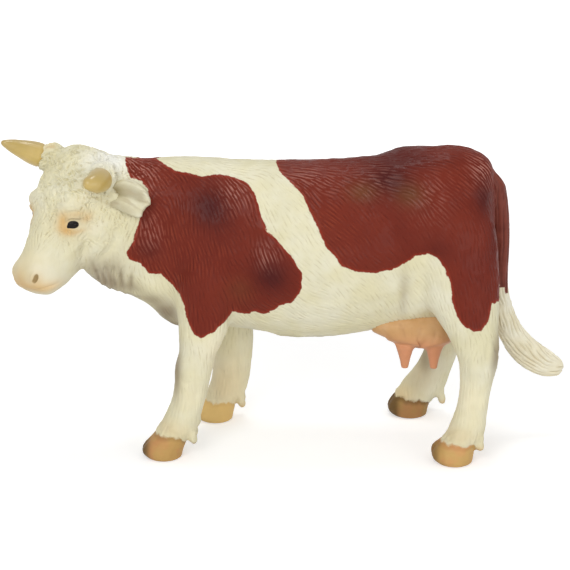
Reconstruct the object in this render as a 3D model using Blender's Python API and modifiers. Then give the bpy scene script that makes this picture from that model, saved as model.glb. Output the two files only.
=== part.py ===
"""A solid moulded toy cow, walking, its lowered head turned to its left.

The figure is twelve plain mouldings joined by glued round pegs in sockets. The cow
faces -X with its left side towards -Y, and stands on the floor at Z = 0.
Lengths are metres. Tables whose names end in shares hold fractions of the sizes
that their headings name.
"""
import math

import bmesh
import bpy
from mathutils import Vector

# Body
BODY_LENGTH = 0.080
BACK_HEIGHT = 0.0735
BODY_WIDTH = 0.032

# Legs
LEG_DEPTH = 0.008
LEG_WIDTH = 0.008
LEG_SEAM_HEIGHT = 0.0255
CLEFT_WIDTH = 0.0008
CLEFT_DEPTH = 0.0045
CLEFT_HEIGHT = 0.0046
DEWCLAW_LENGTH = 0.0034
DEWCLAW_DIAMETER = 0.0022

# Head, horns and ears
HEAD_LENGTH = 0.033
HEAD_WIDTH = 0.019
HEAD_DEPTH = 0.020
BROW_DIAMETER = 0.0090
BOSS_DIAMETER = 0.0076
HORN_LENGTH = 0.0150
HORN_DIAMETER = 0.0062
EAR_LENGTH = 0.0092
EAR_WIDTH = 0.0098
EAR_THICKNESS = 0.0026

# Udder and tail
UDDER_LENGTH = 0.0215
UDDER_WIDTH = 0.0175
UDDER_DEPTH = 0.0150
TEAT_LENGTH = 0.0062
TEAT_DIAMETER = 0.0036
TAIL_DIAMETER = 0.0042
TASSEL_WIDTH = 0.0080

# Glued joints
GLUE_GAP = 0.0003
LEG_PEG_DIAMETER = 0.0040
LEG_PEG_LENGTH = 0.0050
NECK_PEG_DIAMETER = 0.0080
NECK_PEG_LENGTH = 0.0060
UDDER_PEG_DIAMETER = 0.0060
UDDER_PEG_LENGTH = 0.0050
SMALL_PEG_DIAMETER = 0.0020
SMALL_PEG_LENGTH = 0.0030

# Cutting blocks run this far past the model
OVERRUN = 0.20

# Cage and peg roundness
TORSO_SIDES = 14
HEAD_SIDES = 12
LEG_SIDES = 8
SMALL_SIDES = 8
PEG_SIDES = 12

# Torso rings from buttocks to poll: along, aside, top, widest level, bottom, half width,
# in BODY_LENGTH, BODY_WIDTH, BACK_HEIGHT (three times) and BODY_WIDTH
TORSO_SHARES = (
    (0.659, 0.000, 0.935, 0.755, 0.605, 0.109),
    (0.640, 0.000, 0.988, 0.755, 0.524, 0.231),
    (0.603, 0.000, 1.023, 0.755, 0.469, 0.319),
    (0.545, 0.000, 1.043, 0.769, 0.437, 0.381),
    (0.463, 0.000, 1.039, 0.796, 0.423, 0.412),
    (0.362, 0.000, 1.016, 0.741, 0.415, 0.425),
    (0.250, 0.000, 0.999, 0.687, 0.390, 0.469),
    (0.125, 0.000, 0.990, 0.660, 0.371, 0.500),
    (0.025, 0.000, 0.989, 0.660, 0.377, 0.500),
    (-0.087, 0.000, 0.989, 0.673, 0.401, 0.463),
    (-0.188, 0.000, 0.996, 0.687, 0.415, 0.425),
    (-0.275, 0.000, 1.003, 0.701, 0.401, 0.388),
    (-0.344, 0.000, 1.003, 0.714, 0.410, 0.338),
    (-0.400, -0.019, 0.999, 0.728, 0.475, 0.294),
    (-0.463, -0.056, 1.001, 0.755, 0.528, 0.269),
    (-0.525, -0.106, 1.005, 0.769, 0.553, 0.256),
    (-0.581, -0.156, 1.005, 0.782, 0.592, 0.231),
    (-0.625, -0.200, 0.973, 0.782, 0.655, 0.169),
)

# Leg rings from sole to shoulder or hip: height, outward, half width, then along and
# half depth for the left leg and for the right leg, in BACK_HEIGHT, BODY_WIDTH,
# LEG_WIDTH, BODY_LENGTH, LEG_DEPTH, BODY_LENGTH and LEG_DEPTH
FORELEG_SHARES = (
    (0.000, 0.397, 0.60, -0.367, 0.54, -0.216, 0.54),
    (0.010, 0.397, 0.64, -0.375, 0.62, -0.224, 0.62),
    (0.029, 0.397, 0.64, -0.376, 0.69, -0.226, 0.69),
    (0.053, 0.397, 0.60, -0.361, 0.62, -0.215, 0.62),
    (0.076, 0.397, 0.56, -0.345, 0.57, -0.201, 0.57),
    (0.102, 0.394, 0.53, -0.324, 0.65, -0.180, 0.66),
    (0.143, 0.388, 0.46, -0.311, 0.56, -0.171, 0.61),
    (0.190, 0.378, 0.41, -0.292, 0.52, -0.164, 0.63),
    (0.238, 0.369, 0.44, -0.283, 0.52, -0.160, 0.62),
    (0.279, 0.362, 0.51, -0.278, 0.57, -0.161, 0.66),
    (0.313, 0.356, 0.53, -0.273, 0.60, -0.160, 0.69),
    (0.347, 0.350, 0.51, -0.265, 0.55, -0.158, 0.61),
    (0.388, 0.331, 0.55, -0.254, 0.65, -0.160, 0.65),
    (0.442, 0.306, 0.61, -0.244, 0.78, -0.173, 0.78),
    (0.524, 0.269, 0.70, -0.237, 0.97, -0.200, 0.97),
    (0.619, 0.241, 0.80, -0.225, 1.12, -0.210, 1.12),
    (0.728, 0.212, 0.82, -0.206, 1.12, -0.202, 1.12),
    (0.837, 0.169, 0.78, -0.188, 1.00, -0.188, 1.00),
    (0.932, 0.125, 0.50, -0.175, 0.69, -0.175, 0.69),
)
HIND_LEG_SHARES = (
    (0.000, 0.506, 0.62, 0.535, 0.55, 0.419, 0.57),
    (0.011, 0.506, 0.66, 0.529, 0.64, 0.412, 0.65),
    (0.029, 0.506, 0.66, 0.526, 0.69, 0.410, 0.70),
    (0.052, 0.506, 0.62, 0.532, 0.64, 0.421, 0.68),
    (0.072, 0.506, 0.59, 0.545, 0.60, 0.438, 0.72),
    (0.098, 0.500, 0.55, 0.570, 0.60, 0.460, 0.78),
    (0.136, 0.494, 0.50, 0.575, 0.55, 0.472, 0.70),
    (0.177, 0.481, 0.44, 0.585, 0.49, 0.494, 0.61),
    (0.224, 0.463, 0.42, 0.593, 0.47, 0.510, 0.57),
    (0.272, 0.444, 0.46, 0.597, 0.50, 0.522, 0.56),
    (0.313, 0.425, 0.53, 0.604, 0.56, 0.536, 0.59),
    (0.347, 0.412, 0.57, 0.605, 0.62, 0.544, 0.61),
    (0.388, 0.388, 0.62, 0.600, 0.71, 0.550, 0.70),
    (0.442, 0.350, 0.70, 0.583, 0.82, 0.552, 0.82),
    (0.524, 0.300, 0.79, 0.556, 1.12, 0.544, 1.12),
    (0.619, 0.263, 0.90, 0.537, 1.31, 0.532, 1.31),
    (0.728, 0.231, 0.93, 0.525, 1.38, 0.525, 1.38),
    (0.837, 0.194, 0.88, 0.519, 1.25, 0.519, 1.25),
    (0.946, 0.141, 0.56, 0.512, 0.88, 0.512, 0.88),
)

# Dewclaws, at the leg ring with this number counted from the sole: inset in
# DEWCLAW_DIAMETER, then spread in LEG_WIDTH and drop in DEWCLAW_LENGTH
DEWCLAW_RING = 5
DEWCLAW_SHARES = (0.72, 0.27, 0.05)
DEWCLAW_WAY = Vector((0.10, 0, -1)).normalized()
DEWCLAW_TAPER_SHARE = 0.55

# Head place in BODY_LENGTH, BODY_WIDTH and BACK_HEIGHT, and its turn
POLL_SHARES = (-0.640, -0.125, 1.020)
HEAD_YAW = math.radians(50)
HEAD_PITCH = math.radians(50)

# Head rings from nape to nose: along, brow line, widest level, jaw line, half width,
# in HEAD_LENGTH, HEAD_DEPTH (three times) and HEAD_WIDTH
HEAD_SHARES = (
    (-0.152, -0.150, -0.450, -0.750, 0.316),
    (-0.061, 0.010, -0.380, -0.850, 0.453),
    (0.076, 0.060, -0.340, -1.000, 0.506),
    (0.227, 0.060, -0.320, -1.020, 0.516),
    (0.364, 0.025, -0.340, -1.000, 0.500),
    (0.500, -0.030, -0.420, -0.950, 0.421),
    (0.636, -0.070, -0.440, -0.840, 0.358),
    (0.773, -0.100, -0.400, -0.710, 0.326),
    (0.894, -0.110, -0.370, -0.640, 0.342),
    (0.970, -0.170, -0.375, -0.590, 0.316),
    (1.018, -0.275, -0.390, -0.500, 0.221),
)

# Centres of the brows, one each side, and of the bosses that carry the horns, in
# HEAD_LENGTH, HEAD_WIDTH and HEAD_DEPTH
BROW_SHARES = (0.36, 0.22, -0.20)
BOSS_SHARES = {"left": (0.07, 0.44, -0.20), "right": (0.03, -0.44, -0.14)}

# The glued seam across the neck: a point in body shares and the way it faces
NECK_SEAM_SHARES = (-0.440, -0.100, 0.780)
NECK_SEAM_FACING = Vector((-0.94, -0.30, -0.15)).normalized()

# Horn bend and tip from its boss, down the face, to the left and up from the brow in
# HORN_LENGTH, and its half thickness on the way in HORN_DIAMETER
HORN_BEND_SHARES = {"left": (0.23, 0.37, 0.32), "right": (0.08, -0.45, 0.36)}
HORN_TIP_SHARES = {"left": (0.36, 0.20, 0.54), "right": (0.18, -0.45, 0.77)}
HORN_RADIUS_SHARES = (0.50, 0.50, 0.48, 0.42, 0.32, 0.16)

# Ear root in the same head shares, the way the ear points down the face, to the left
# and out of the brow, and the outline from root to tip: along in EAR_LENGTH, half
# width in EAR_WIDTH, half thickness in EAR_THICKNESS
EAR_ROOT_SHARES = {"left": (0.12, 0.56, -0.40), "right": (0.11, -0.43, -0.34)}
EAR_WAYS = {"left": (-0.03, 0.93, -0.46), "right": (-0.24, -0.79, -0.60)}
EAR_OUTLINE_SHARES = (
    (-0.06, 0.24, 0.60),
    (0.12, 0.28, 0.60),
    (0.32, 0.42, 0.50),
    (0.56, 0.50, 0.44),
    (0.78, 0.45, 0.40),
    (0.94, 0.28, 0.34),
    (1.00, 0.12, 0.24),
)
# How far the ear's edges cup forward in EAR_WIDTH, and where it seats in EAR_LENGTH
EAR_CUP_SHARE = 0.22
EAR_SEAT_SHARE = 0.34

# Udder rings from front to back: along in UDDER_LENGTH from the udder's middle, bottom
# in UDDER_DEPTH from its top, half width in UDDER_WIDTH
UDDER_TOP_SHARES = (0.405, 0.000, 0.490)
UDDER_SHARES = (
    (-0.60, -0.20, 0.12),
    (-0.50, -0.36, 0.28),
    (-0.28, -0.62, 0.44),
    (-0.03, -0.76, 0.50),
    (0.22, -0.80, 0.48),
    (0.42, -0.72, 0.38),
    (0.54, -0.48, 0.20),
)
# Teat roots: along in UDDER_LENGTH, aside in UDDER_WIDTH, height in UDDER_DEPTH
TEAT_ROOT_SHARES = ((-0.08, 0.30, -0.62), (0.26, 0.24, -0.66))
TEAT_TAPER_SHARE = 0.62

# Tail path from the tail head to the tassel: along, aside, height, half depth,
# half width, in BODY_LENGTH, BODY_WIDTH, BACK_HEIGHT, TAIL_DIAMETER and TAIL_DIAMETER
TAIL_SHARES = (
    (0.610, 0.000, 1.010, 0.33, 0.40),
    (0.642, 0.000, 0.972, 0.46, 0.50),
    (0.667, 0.000, 0.895, 0.48, 0.50),
    (0.679, 0.000, 0.800, 0.46, 0.50),
    (0.684, 0.003, 0.700, 0.45, 0.48),
    (0.681, 0.009, 0.612, 0.43, 0.45),
)
# Tassel path, the same with both halves in TASSEL_WIDTH
TASSEL_SHARES = (
    (0.678, 0.019, 0.531, 0.28, 0.26),
    (0.688, 0.037, 0.471, 0.34, 0.31),
    (0.706, 0.062, 0.406, 0.38, 0.34),
    (0.735, 0.084, 0.346, 0.42, 0.35),
    (0.776, 0.100, 0.294, 0.47, 0.34),
    (0.820, 0.109, 0.258, 0.48, 0.31),
    (0.868, 0.116, 0.236, 0.38, 0.23),
    (0.898, 0.119, 0.226, 0.18, 0.11),
)

# Peg places on the trunk in BODY_LENGTH, BODY_WIDTH and BACK_HEIGHT
UDDER_PEG_SHARES = (0.405, 0.000, 0.420)
TAIL_PEG_SHARES = (0.655, 0.000, 0.900)

# Paint and plastic colours
CREAM = (0.69, 0.64, 0.45)
RED_BROWN = (0.17, 0.038, 0.026)
HORN_TAN = (0.59, 0.41, 0.15)
UDDER_PEACH = (0.59, 0.32, 0.16)
PAINT_ROUGHNESS = 0.50
GLOSSY_ROUGHNESS = 0.32

SIDES = {"left": -1, "right": 1}
PLUS_X = Vector((1, 0, 0))
PLUS_Y = Vector((0, 1, 0))
PLUS_Z = Vector((0, 0, 1))


def start_scene():
    """Empty the file and make a collection for the parts and one for the cutters."""
    for old in list(bpy.data.objects):
        bpy.data.objects.remove(old, do_unlink=True)
    made = []
    for name in ("toy_cow", "cutters"):
        collection = bpy.data.collections.new(name)
        bpy.context.scene.collection.children.link(collection)
        made.append(collection)
    return made


PARTS, CUTTERS = start_scene()
STAND = bpy.data.objects.new("stand", None)
bpy.context.scene.collection.objects.link(STAND)


def in_body(shares):
    """The point at shares of the body's length, width and height."""
    along, aside, up = shares
    return Vector((along * BODY_LENGTH, aside * BODY_WIDTH, up * BACK_HEIGHT))


def head_axes():
    """The head's own directions: down the face, to its left, and out of the brow."""
    cos_yaw, sin_yaw = math.cos(HEAD_YAW), math.sin(HEAD_YAW)
    cos_pitch, sin_pitch = math.cos(HEAD_PITCH), math.sin(HEAD_PITCH)
    face = Vector((-cos_yaw * cos_pitch, -sin_yaw * cos_pitch, -sin_pitch))
    left = Vector((sin_yaw, -cos_yaw, 0))
    brow = Vector((-cos_yaw * sin_pitch, -sin_yaw * sin_pitch, cos_pitch))
    return face, left, brow


FACE_WAY, LEFT_WAY, BROW_WAY = head_axes()


def head_way(along, aside, up):
    """A direction given down the face, to the left and out of the brow."""
    return FACE_WAY * along + LEFT_WAY * aside + BROW_WAY * up


def in_head(shares):
    """The point at shares of the head's length, width and depth, from the poll."""
    along, aside, up = shares
    return in_body(POLL_SHARES) + head_way(along * HEAD_LENGTH, aside * HEAD_WIDTH,
                                           up * HEAD_DEPTH)


def oval(centre, across, upward, half_width, up, down, sides, cup=0.0):
    """A cage ring whose rounded outline has the given half width, rise and fall."""
    swell = 3 / (2 + math.cos(2 * math.pi / sides))
    ring = []
    for step in range(sides):
        angle = 2 * math.pi * (step + 0.5) / sides
        rise = math.cos(angle)
        reach = up if rise > 0 else down
        side = math.sin(angle)
        lift = rise * reach + cup * side * side
        ring.append(centre + (across * side * half_width + upward * lift) * swell)
    return ring


def link(name, mesh, collection):
    """Put a mesh in the scene as a named object of one of the two collections."""
    made = bpy.data.objects.new(name, mesh)
    made.parent = STAND
    collection.objects.link(made)
    if collection is CUTTERS:
        made.hide_render = True
        made.display_type = "WIRE"
    return made


def mesh_of(shape, name):
    """Turn a finished bmesh into a smooth mesh."""
    mesh = bpy.data.meshes.new(name)
    shape.to_mesh(mesh)
    shape.free()
    mesh.shade_smooth()
    return mesh


def loft(name, rings, flat_start=False):
    """Skin rings of points into a closed cage, rounded by Subdivision Surface."""
    shape = bmesh.new()
    loops = [[shape.verts.new(point) for point in ring] for ring in rings]
    sides = len(loops[0])
    for near, far in zip(loops, loops[1:]):
        for step in range(sides):
            after = (step + 1) % sides
            shape.faces.new((near[step], near[after], far[after], far[step]))
    start_cap = shape.faces.new(loops[0])
    shape.faces.new(loops[-1])
    if flat_start:
        crease = shape.edges.layers.float.new("crease_edge")
        for edge in start_cap.edges:
            edge[crease] = 1.0
    bmesh.ops.recalc_face_normals(shape, faces=shape.faces)
    made = link(name, mesh_of(shape, name), CUTTERS)
    rounding = made.modifiers.new("rounding", "SUBSURF")
    rounding.levels = 1
    rounding.render_levels = 1
    return made


def rod(name, start, way, diameter, length, end_share=1.0):
    """A round peg from start along way, tapered if its end has a smaller share."""
    shape = bmesh.new()
    bmesh.ops.create_cone(shape, cap_ends=True, segments=PEG_SIDES, radius1=diameter / 2,
                          radius2=diameter * end_share / 2, depth=length)
    made = link(name, mesh_of(shape, name), CUTTERS)
    made.location = start + way * length / 2
    made.rotation_mode = "QUATERNION"
    made.rotation_quaternion = way.to_track_quat("Z", "Y")
    return made


def block(name, point, way):
    """A large cutting block that starts at a plane through point and lies along way."""
    shape = bmesh.new()
    bmesh.ops.create_cube(shape, size=OVERRUN)
    made = link(name, mesh_of(shape, name), CUTTERS)
    made.location = point + way * OVERRUN / 2
    made.rotation_mode = "QUATERNION"
    made.rotation_quaternion = way.to_track_quat("Z", "Y")
    return made


def combine(target, operation, others):
    """Join to the target, or cut from it, each of the other objects."""
    for other in others:
        step = target.modifiers.new(operation.lower() + "_" + other.name, "BOOLEAN")
        step.operation = operation
        step.solver = "EXACT"
        step.object = other


def copy_form(name, form, collection):
    """A second object on a form's mesh, with the form's rounding and joins."""
    made = link(name, form.data, collection)
    for source in form.modifiers:
        if source.type == "SUBSURF":
            rounding = made.modifiers.new(source.name, source.type)
            rounding.levels = source.levels
            rounding.render_levels = source.render_levels
        else:
            combine(made, source.operation, (source.object,))
    return made


def paint(made, colour, roughness):
    """Give a part its own Principled material."""
    material = bpy.data.materials.new(made.name + "_finish")
    material.use_nodes = True
    shader = material.node_tree.nodes["Principled BSDF"]
    shader.inputs["Base Color"].default_value = (*colour, 1.0)
    shader.inputs["Roughness"].default_value = roughness
    shader.inputs["Metallic"].default_value = 0.0
    made.data = made.data.copy()
    made.data.materials.clear()
    made.data.materials.append(material)


def peg_joint(holder, socket_owner, seat, way, diameter, length):
    """Grow a peg from the holder, through the seat, into a socket in its neighbour."""
    start = seat - way * length / 2
    reach = length * 3 / 2
    combine(holder, "UNION", (rod(holder.name + "_peg", start, way, diameter, reach),))
    socket = rod(holder.name + "_socket", start, way, diameter + 2 * GLUE_GAP,
                 reach + GLUE_GAP)
    combine(socket_owner, "DIFFERENCE", (socket,))


# Torso and neck form
def torso_rings():
    rings = []
    for along, aside, top, level, bottom, half_width in TORSO_SHARES:
        centre = in_body((along, aside, level))
        up = (top - level) * BACK_HEIGHT
        down = (level - bottom) * BACK_HEIGHT
        rings.append(oval(centre, PLUS_Y, PLUS_Z, half_width * BODY_WIDTH, up, down,
                          TORSO_SIDES))
    return rings


torso_form = loft("torso_form", torso_rings())

# Leg forms, each from its sole up into the torso
LEG_TABLES = {"foreleg": FORELEG_SHARES, "hind_leg": HIND_LEG_SHARES}


def leg_station(row, side):
    """One leg ring's middle, its half depth and its half width."""
    height, outward, half_width, left_along, left_depth, right_along, right_depth = row
    along, depth = (left_along, left_depth) if side < 0 else (right_along, right_depth)
    middle = in_body((along, side * outward, height))
    return middle, depth * LEG_DEPTH, half_width * LEG_WIDTH


def leg_rings(table, side):
    rings = []
    for row in table:
        middle, depth, half_width = leg_station(row, side)
        rings.append(oval(middle, PLUS_Y, PLUS_X, half_width, depth, depth, LEG_SIDES))
    return rings


leg_forms = {}
for leg, table in LEG_TABLES.items():
    for hand, side in SIDES.items():
        leg_forms[hand, leg] = loft(f"{hand}_{leg}_form", leg_rings(table, side), True)


# Head form: skull and jaw, with a brow over each eye and a boss under each horn
def head_rings():
    rings = []
    for along, brow, level, jaw, half_width in HEAD_SHARES:
        up = (brow - level) * HEAD_DEPTH
        down = (level - jaw) * HEAD_DEPTH
        rings.append(oval(in_head((along, 0, level)), LEFT_WAY, BROW_WAY,
                          half_width * HEAD_WIDTH, up, down, HEAD_SIDES))
    return rings


def bulge(name, centre, diameter):
    """A round bulge of the skull."""
    shape = bmesh.new()
    bmesh.ops.create_icosphere(shape, subdivisions=2, radius=diameter / 2)
    made = link(name, mesh_of(shape, name), CUTTERS)
    made.location = centre
    return made


skull_forms = [loft("skull_form", head_rings())]
for hand, side in SIDES.items():
    along, aside, up = BROW_SHARES
    brow = in_head((along, -side * aside, up))
    skull_forms.append(bulge(hand + "_brow", brow, BROW_DIAMETER))
    boss = in_head(BOSS_SHARES[hand])
    skull_forms.append(bulge(hand + "_horn_boss", boss, BOSS_DIAMETER))


def clear_of(forms):
    """Cutters that match the forms, each grown by the glue gap."""
    made = []
    for form in forms:
        cutter = copy_form(form.name + "_clear", form, CUTTERS)
        cutter.location = form.location
        grown = cutter.modifiers.new("grown", "DISPLACE")
        grown.strength = GLUE_GAP
        grown.mid_level = 0.0
        made.append(cutter)
    return made


torso_clear = clear_of((torso_form,))
hind_clear = torso_clear + clear_of(leg_forms[hand, "hind_leg"] for hand in SIDES)
skull_clear = torso_clear + clear_of(skull_forms)

# Trunk: torso, neck and the tops of the legs, cut at the neck and leg seams
neck_seam = in_body(NECK_SEAM_SHARES)
leg_seam = PLUS_Z * LEG_SEAM_HEIGHT
trunk = copy_form("trunk", torso_form, PARTS)
combine(trunk, "UNION", leg_forms.values())
combine(trunk, "UNION", skull_forms)
combine(trunk, "DIFFERENCE", (
    block("ahead_of_neck_seam", neck_seam, NECK_SEAM_FACING),
    block("below_leg_seam", leg_seam + PLUS_Z * GLUE_GAP, -PLUS_Z),
))
paint(trunk, CREAM, PAINT_ROUGHNESS)

# Head: the skull with the front of the neck, cut a glue gap ahead of the seam
head = copy_form("head", skull_forms[0], PARTS)
combine(head, "UNION", skull_forms[1:] + [torso_form])
head_cut = block("behind_neck_seam", neck_seam + NECK_SEAM_FACING * GLUE_GAP,
                 -NECK_SEAM_FACING)
combine(head, "DIFFERENCE", (head_cut,))
peg_joint(head, trunk, neck_seam, -NECK_SEAM_FACING, NECK_PEG_DIAMETER, NECK_PEG_LENGTH)
paint(head, CREAM, PAINT_ROUGHNESS)


# Legs: cut at the leg seam, with a cloven hoof, two dewclaws and a peg
def cleft(name, toe):
    """The slot between the two toes of a hoof."""
    shape = bmesh.new()
    bmesh.ops.create_cube(shape, size=1.0)
    size = Vector((CLEFT_DEPTH, CLEFT_WIDTH, CLEFT_HEIGHT)) * 2
    size.y = CLEFT_WIDTH
    bmesh.ops.scale(shape, vec=size, verts=shape.verts)
    made = link(name, mesh_of(shape, name), CUTTERS)
    made.location = toe
    return made


def dewclaws(name, middle, depth):
    """The two small claws behind a pastern."""
    inset, spread, drop = DEWCLAW_SHARES
    made = []
    for hand, side in SIDES.items():
        root = middle + PLUS_X * (depth - inset * DEWCLAW_DIAMETER)
        root += PLUS_Y * side * spread * LEG_WIDTH - PLUS_Z * drop * DEWCLAW_LENGTH
        made.append(rod(f"{name}_{hand}_dewclaw", root, DEWCLAW_WAY, DEWCLAW_DIAMETER,
                        DEWCLAW_LENGTH, DEWCLAW_TAPER_SHARE))
    return made


def seam_centre(table, side):
    """The middle of a leg at the leg seam."""
    below = leg_station(table[0], side)[0]
    for row in table:
        middle = leg_station(row, side)[0]
        if middle.z >= LEG_SEAM_HEIGHT:
            share = (LEG_SEAM_HEIGHT - below.z) / (middle.z - below.z)
            return below.lerp(middle, share)
        below = middle


leg_cut = block("above_leg_seam", leg_seam, PLUS_Z)
for (hand, leg), form in leg_forms.items():
    name = hand + "_" + leg
    table, side = LEG_TABLES[leg], SIDES[hand]
    made = copy_form(name, form, PARTS)
    sole, sole_depth, _ = leg_station(table[0], side)
    pastern, pastern_depth, _ = leg_station(table[DEWCLAW_RING], side)
    combine(made, "UNION", dewclaws(name, pastern, pastern_depth))
    combine(made, "DIFFERENCE", (leg_cut, cleft(name + "_cleft", sole - PLUS_X * sole_depth)))
    peg_joint(made, trunk, seam_centre(table, side), PLUS_Z, LEG_PEG_DIAMETER,
              LEG_PEG_LENGTH)
    paint(made, CREAM, PAINT_ROUGHNESS)


# Horns, each a bent taper seated on the skull
def horn_rings(root, bend, tip):
    rings = []
    last = len(HORN_RADIUS_SHARES) - 1
    for number, radius_share in enumerate(HORN_RADIUS_SHARES):
        share = number / last
        centre = root.lerp(bend, share).lerp(bend.lerp(tip, share), share)
        way = (bend - root).lerp(tip - bend, share).normalized()
        across = way.cross(BROW_WAY).normalized()
        radius = radius_share * HORN_DIAMETER
        rings.append(oval(centre, across, across.cross(way), radius, radius, radius,
                          SMALL_SIDES))
    return rings


for hand in SIDES:
    root = in_head(BOSS_SHARES[hand])
    bend = root + head_way(*HORN_BEND_SHARES[hand]) * HORN_LENGTH
    tip = root + head_way(*HORN_TIP_SHARES[hand]) * HORN_LENGTH
    form = loft(hand + "_horn_form", horn_rings(root, bend, tip))
    horn = copy_form(hand + "_horn", form, PARTS)
    combine(horn, "DIFFERENCE", skull_clear)
    way = (bend - root).normalized()
    seat = root + way * BOSS_DIAMETER / 2
    peg_joint(horn, head, seat, -way, SMALL_PEG_DIAMETER, SMALL_PEG_LENGTH)
    paint(horn, HORN_TAN, GLOSSY_ROUGHNESS)


# Ears, each a cupped leaf seated on the skull
def ear_rings(root, way):
    broad = (FACE_WAY - way * FACE_WAY.dot(way)).normalized()
    thick = broad.cross(way)
    if thick.dot(BROW_WAY) < 0:
        thick.negate()
    rings = []
    for along, half_width, half_thickness in EAR_OUTLINE_SHARES:
        reach = half_thickness * EAR_THICKNESS
        rings.append(oval(root + way * along * EAR_LENGTH, broad, thick,
                          half_width * EAR_WIDTH, reach, reach, SMALL_SIDES,
                          EAR_CUP_SHARE * half_width * EAR_WIDTH))
    return rings


for hand in SIDES:
    root = in_head(EAR_ROOT_SHARES[hand])
    way = head_way(*EAR_WAYS[hand]).normalized()
    form = loft(hand + "_ear_form", ear_rings(root, way))
    ear = copy_form(hand + "_ear", form, PARTS)
    combine(ear, "DIFFERENCE", skull_clear)
    seat = root + way * EAR_LENGTH * EAR_SEAT_SHARE
    peg_joint(ear, head, seat, -way, SMALL_PEG_DIAMETER, SMALL_PEG_LENGTH)
    paint(ear, CREAM, PAINT_ROUGHNESS)


# Udder with four teats, scooped to sit under the belly
def udder_rings(top):
    rings = []
    for along, bottom, half_width in UDDER_SHARES:
        reach = -bottom * UDDER_DEPTH / 2
        centre = top + PLUS_X * along * UDDER_LENGTH - PLUS_Z * reach
        rings.append(oval(centre, PLUS_Y, PLUS_Z, half_width * UDDER_WIDTH, reach, reach,
                          HEAD_SIDES))
    return rings


def teats(top):
    made = []
    for number, (along, aside, height) in enumerate(TEAT_ROOT_SHARES):
        for hand, side in SIDES.items():
            root = top + Vector((along * UDDER_LENGTH, side * aside * UDDER_WIDTH,
                                 height * UDDER_DEPTH))
            made.append(rod(f"{hand}_teat_{number + 1}", root, -PLUS_Z, TEAT_DIAMETER,
                            TEAT_LENGTH, TEAT_TAPER_SHARE))
    return made


udder_top = in_body(UDDER_TOP_SHARES)
udder = copy_form("udder", loft("udder_form", udder_rings(udder_top)), PARTS)
combine(udder, "UNION", teats(udder_top))
combine(udder, "DIFFERENCE", hind_clear)
peg_joint(udder, trunk, in_body(UDDER_PEG_SHARES), PLUS_Z, UDDER_PEG_DIAMETER,
          UDDER_PEG_LENGTH)
paint(udder, UDDER_PEACH, GLOSSY_ROUGHNESS)


# Tail, hugging the buttocks, with its tassel flicked back
def tail_rings():
    rows = [(row, TAIL_DIAMETER) for row in TAIL_SHARES]
    rows += [(row, TASSEL_WIDTH) for row in TASSEL_SHARES]
    centres = [in_body(row[:3]) for row, _ in rows]
    rings = []
    for number, (row, width) in enumerate(rows):
        before = centres[max(number - 1, 0)]
        after = centres[min(number + 1, len(centres) - 1)]
        way = (after - before).normalized()
        across = PLUS_Y
        deep = across.cross(way).normalized()
        rings.append(oval(centres[number], across, deep, row[4] * width, row[3] * width,
                          row[3] * width, SMALL_SIDES))
    return rings


tail = copy_form("tail", loft("tail_form", tail_rings()), PARTS)
combine(tail, "DIFFERENCE", hind_clear)
peg_joint(tail, trunk, in_body(TAIL_PEG_SHARES), -PLUS_X, SMALL_PEG_DIAMETER,
          SMALL_PEG_LENGTH)
paint(tail, RED_BROWN, PAINT_ROUGHNESS)


# Stand the figure on the floor with its outer box centred on the origin
def outer_box():
    """The lowest and highest corner of all the parts as they are evaluated."""
    bpy.context.view_layer.update()
    graph = bpy.context.evaluated_depsgraph_get()
    corners = []
    for made in PARTS.objects:
        shown = made.evaluated_get(graph)
        corners += [shown.matrix_world @ vertex.co for vertex in shown.data.vertices]
    low = Vector([min(corner[axis] for corner in corners) for axis in range(3)])
    high = Vector([max(corner[axis] for corner in corners) for axis in range(3)])
    return low, high


lowest, highest = outer_box()
STAND.location = (-(lowest.x + highest.x) / 2, -(lowest.y + highest.y) / 2, -lowest.z)
bpy.context.view_layer.update()
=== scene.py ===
import math
import random

import bmesh
import bpy
import numpy as np
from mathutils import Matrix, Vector, noise
from mathutils.bvhtree import BVHTree
from mathutils.kdtree import KDTree


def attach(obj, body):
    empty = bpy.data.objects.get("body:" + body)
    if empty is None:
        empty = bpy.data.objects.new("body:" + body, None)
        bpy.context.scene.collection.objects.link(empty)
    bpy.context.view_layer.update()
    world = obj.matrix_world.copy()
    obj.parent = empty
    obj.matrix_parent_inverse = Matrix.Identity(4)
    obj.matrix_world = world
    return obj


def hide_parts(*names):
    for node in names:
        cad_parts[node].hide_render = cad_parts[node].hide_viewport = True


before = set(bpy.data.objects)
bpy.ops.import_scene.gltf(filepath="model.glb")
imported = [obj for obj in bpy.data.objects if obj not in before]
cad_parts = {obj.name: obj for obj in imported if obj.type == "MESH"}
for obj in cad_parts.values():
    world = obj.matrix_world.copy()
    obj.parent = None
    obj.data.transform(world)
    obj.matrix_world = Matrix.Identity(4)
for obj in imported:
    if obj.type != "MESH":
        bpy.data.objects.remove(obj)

bpy.context.view_layer.update()
scene = bpy.context.scene
scene.view_settings.view_transform = "Standard"

# Viewpoint
# The figure is seen from its left side and a little from above. The same view tells
# where a detail lies on the skin, so every place below that is two numbers is a point
# of the 570 by 570 picture.
MM = 0.001
PICTURE_SIDE = 570
FOCAL_PIXELS = 2080
AXIS_POINT = np.array((282.5, 279.6))
TILT = math.radians(18)
LOOKED_AT = np.array((-0.0014, 0.0, 0.0420))
VIEW_BACK = np.array((0.0, -math.cos(TILT), math.sin(TILT)))
VIEW_UP = np.array((0.0, math.sin(TILT), math.cos(TILT)))
EYE_DISTANCE = 0.520
EYE_PLACE = LOOKED_AT + VIEW_BACK * EYE_DISTANCE


def added(name, data):
    """A new object of the scene."""
    obj = bpy.data.objects.new(name, data)
    scene.collection.objects.link(obj)
    return obj


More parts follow.
